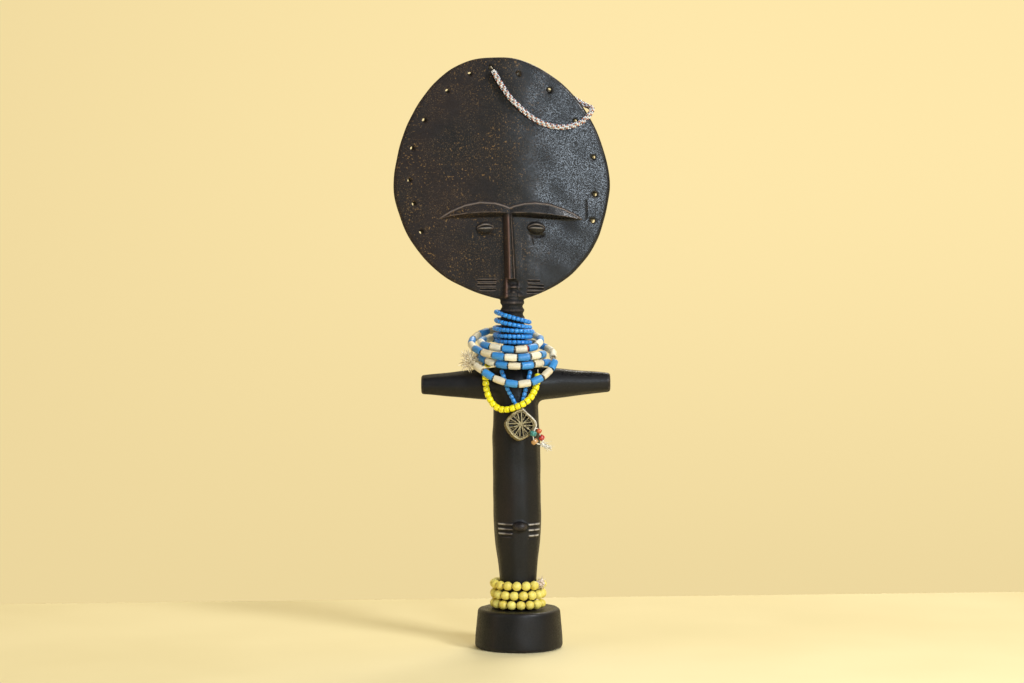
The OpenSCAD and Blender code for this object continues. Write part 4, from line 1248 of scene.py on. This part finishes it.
def pendant():
    """A hollow cast charm: paired spokes over a dark inside, a raised rim, a slotted side, a domed back."""
    tilt = [math.radians(a) for a in PENDANT_TURN]
    m = (Matrix.Rotation(tilt[2], 3, "Z") @ Matrix.Rotation(tilt[1], 3, "Y")
         @ Matrix.Rotation(tilt[0], 3, "X") @ Matrix.Rotation(math.radians(90), 3, "X"))
    m = np.array(m)
    sharp = 1.5

    def edge(a, inset=0.0):
        full = PENDANT_HALF * (np.abs(np.cos(a)) ** sharp + np.abs(np.sin(a)) ** sharp) ** (-1 / sharp)
        return full - inset

    def ring(inset, depth, count=120):
        a = np.arange(count) * 2 * math.pi / count
        r = edge(a, inset)
        return np.stack([r * np.cos(a), r * np.sin(a), np.full(count, depth)], 1)

    def dome(r_share):
        return 2.25 + 0.8 * (1 - r_share ** 2)

    shape = Shape()

    def add(verts, faces, **marks):
        shape.add(np.asarray(verts) @ m.T + PENDANT_AT, faces, **marks)

    add(*ring_sweep(ring(0.75, 2.25), 0.75, 12), edge=0.75)
    add(*ring_sweep(ring(1.75, 2.35), 0.35, 8), edge=0.5)
    add(*ring_sweep(ring(0.75, -2.35), 0.75, 12), edge=0.4)
    posts = 40
    for k in range(posts):
        a = 2 * math.pi * k / posts
        r = edge(np.array(a), 0.62)
        foot, top = ([r * math.cos(a), r * math.sin(a), z] for z in (-2.3, 2.2))
        add(*sweep(np.linspace(foot, top, 4), 0.42, 8), edge=0.45)
    inner = [ring(1.35, depth) for depth in (-2.3, 2.0)]
    count = len(inner[0])
    add(np.concatenate(inner), wall(2, count, closed=False), deep=0.8)
    shares = np.linspace(0, 1, 9)
    for depth, swell, deep, flip in ((-1.2, 0.3, 1.0, False), (-2.4, -0.8, 0.0, True)):
        a = np.arange(72) * 2 * math.pi / 72
        rings = [np.stack([edge(a, 0.8) * s * np.cos(a), edge(a, 0.8) * s * np.sin(a),
                           np.full(72, depth + swell * (1 - s * s))], 1) for s in shares[1:]]
        verts = np.concatenate([[[0, 0, depth + swell]], *rings])
        faces = [(0, 1 + k, 1 + (k + 1) % 72) for k in range(72)]
        faces += [tuple(1 + v for v in f) for f in wall(len(rings), 72, closed=False, flip=True)]
        if flip:
            faces = [f[::-1] for f in faces]
        add(verts, faces, deep=deep)
    pairs = 8
    for k in range(pairs):
        for side in (-1, 1):
            a = math.radians(11) + 2 * math.pi * k / pairs
            out = np.array([math.cos(a), math.sin(a), 0])
            off = side * np.array([-math.sin(a), math.cos(a), 0])
            far = float(edge(np.array(a + side * 0.10), 1.2))
            share = np.linspace(0.12, 1, 10)
            line = [out * far * t + off * (0.42 + 0.95 * t) + [0, 0, dome(t)] for t in share]
            add(*sweep(np.array(line), np.interp(share, [0.12, 1], [0.32, 0.40]), 8, squash=0.8), edge=0.85)
    for k in range(pairs):
        a = math.radians(11) + 2 * math.pi * (k + 0.5) / pairs
        out = np.array([math.cos(a), math.sin(a), 0])
        line = [out * r + [0, 0, dome(r / PENDANT_HALF) - 0.25]
                for r in np.linspace(0.8, float(edge(np.array(a), 1.4)), 8)]
        add(*sweep(np.array(line), np.linspace(0.26, 0.12, 8), 6), edge=0.5)
    a = np.arange(24) * 2 * math.pi / 24
    for r, depth in ((1.5, 3.0), (0.75, 3.12)):
        loop = np.stack([r * np.cos(a), r * np.sin(a), np.full(24, depth)], 1)
        add(*ring_sweep(loop, 0.42, 8), edge=0.8)
    shape.add(*ball(PENDANT_AT + m @ np.array([0, 0, 2.75]), 0.62), edge=0.8)
    lug = np.stack([1.25 * np.cos(a), np.zeros(24), 1.25 * np.sin(a)], 1) + LUG_AT
    shape.add(*ring_sweep(lug, 0.32, 10), edge=0.5)
    stem = np.array([[0.2, -17.2, 153.8], [0.2, -17.3, 152.8], [0.3, -17.8, 151.6]])
    shape.add(*sweep(stem, np.array([0.6, 0.9, 1.1]), 12), edge=0.3)
    hand_over(shape, "pendant_openwork", BRASS, "pendant", "brass_pendant")


def ball(centre, radius, sides=14, rings=9):
    a = np.linspace(0.05, math.pi - 0.05, rings)
    b = np.arange(sides) * 2 * math.pi / sides
    verts = np.stack([np.outer(np.sin(a), np.cos(b)), np.outer(np.sin(a), np.sin(b)),
                      np.outer(np.cos(a), np.ones(sides))], 2).reshape(-1, 3) * radius
    faces = wall(rings, sides, closed=False, flip=True)
    faces += [tuple(range(sides)), tuple((rings - 1) * sides + k for k in range(sides))[::-1]]
    return verts + centre, faces


pendant()


# ---------- stage and light ----------

def make_stage():
    top = Paint("table_top", Roughness=0.62, Specular_IOR_Level=0.3)
    colour = top.blend(top.span(top.noise(3.5, 3), 0.3, 0.7), (0.82, 0.71, 0.40), (0.90, 0.79, 0.47))
    top_mat = top.finish(Base_Color=colour, Normal=top.bump(top.noise(900, 2), 0.05, 0.4))
    reach, thick = 1900.0, 30.0
    back_left, back_right = 221 - 0.084 * reach, 221 + 0.084 * reach
    corners = [(-reach, -reach), (reach, -reach), (reach, back_right), (-reach, back_left)]
    verts = [(x, y, z) for z in (0.0, -thick) for x, y in corners]
    mesh = bpy.data.meshes.new("table_top")
    mesh.from_pydata([[c * MM for c in v] for v in verts], [],
                     [(0, 1, 2, 3), (7, 6, 5, 4), (0, 4, 5, 1), (1, 5, 6, 2), (2, 6, 7, 3), (3, 7, 4, 0)])
    table = make_object("table_top", mesh, top_mat)
    mesh.polygons.foreach_set("use_smooth", [False] * 6)
    # A glowing backdrop round the scene, which lights it as well: painted darker towards the left and the
    # bottom, and dim at the front.
    wall = Paint("studio_wall", Roughness=1.0, Specular_IOR_Level=0.0, Base_Color=(0.02, 0.018, 0.012, 1),
                 Emission_Strength=1.0)
    x, y, z = wall.axis("X"), wall.axis("Y"), wall.axis("Z")
    colour = wall.blend(wall.span(x, -2.6, 0.6), (0.80, 0.64, 0.315), (0.99, 0.80, 0.405))
    colour = wall.blend(wall.span(z, -0.9, 0.6), (0.82, 0.66, 0.33), colour)
    colour = wall.blend(wall.span(y, -0.5, 2.2), (0.055, 0.054, 0.052), colour)
    wall_mat = wall.finish(Emission_Color=colour)
    dome = bpy.data.meshes.new("studio_wall")
    bm = bmesh.new()
    bmesh.ops.create_uvsphere(bm, u_segments=64, v_segments=32, radius=4.2)
    bmesh.ops.reverse_faces(bm, faces=bm.faces[:])
    bm.to_mesh(dome)
    bm.free()
    backdrop = make_object("studio_wall", dome, wall_mat)


def softbox(name, place, aim, size, power, colour):
    data = bpy.data.lights.new(name, "AREA")
    data.shape = "RECTANGLE"
    data.size, data.size_y = size
    data.energy = power
    data.color = colour
    lamp = bpy.data.objects.new(name, data)
    bpy.context.scene.collection.objects.link(lamp)
    lamp.visible_camera = False
    lamp.location = place
    lamp.rotation_euler = (Vector(aim) - Vector(place)).to_track_quat("-Z", "Y").to_euler()


def make_light():
    softbox("key_right", (1.25, -1.30, 1.30), (0, 0, 0.26), (0.5, 0.6), 33, (0.97, 0.98, 1.0))
    softbox("sheen_right", (0.275, -0.92, 0.365), (0.04, 0, 0.31), (0.19, 0.25), 3.6, (0.76, 0.88, 1.0))
    softbox("fill_left", (-1.70, -1.10, 0.90), (0, 0, 0.2), (0.8, 0.8), 7, (1.0, 0.94, 0.88))
    softbox("top_back", (0.5, 1.2, 1.7), (0, 0, 0.25), (0.8, 0.6), 14, (1.0, 0.97, 0.92))
    world = bpy.data.worlds.new("studio")
    world.use_nodes = True
    world.node_tree.nodes["Background"].inputs[0].default_value = (0.9, 0.8, 0.6, 1)
    world.node_tree.nodes["Background"].inputs[1].default_value = 0.11
    bpy.context.scene.world = world
    bpy.context.scene.view_settings.view_transform = "Standard"


make_stage()
make_light()
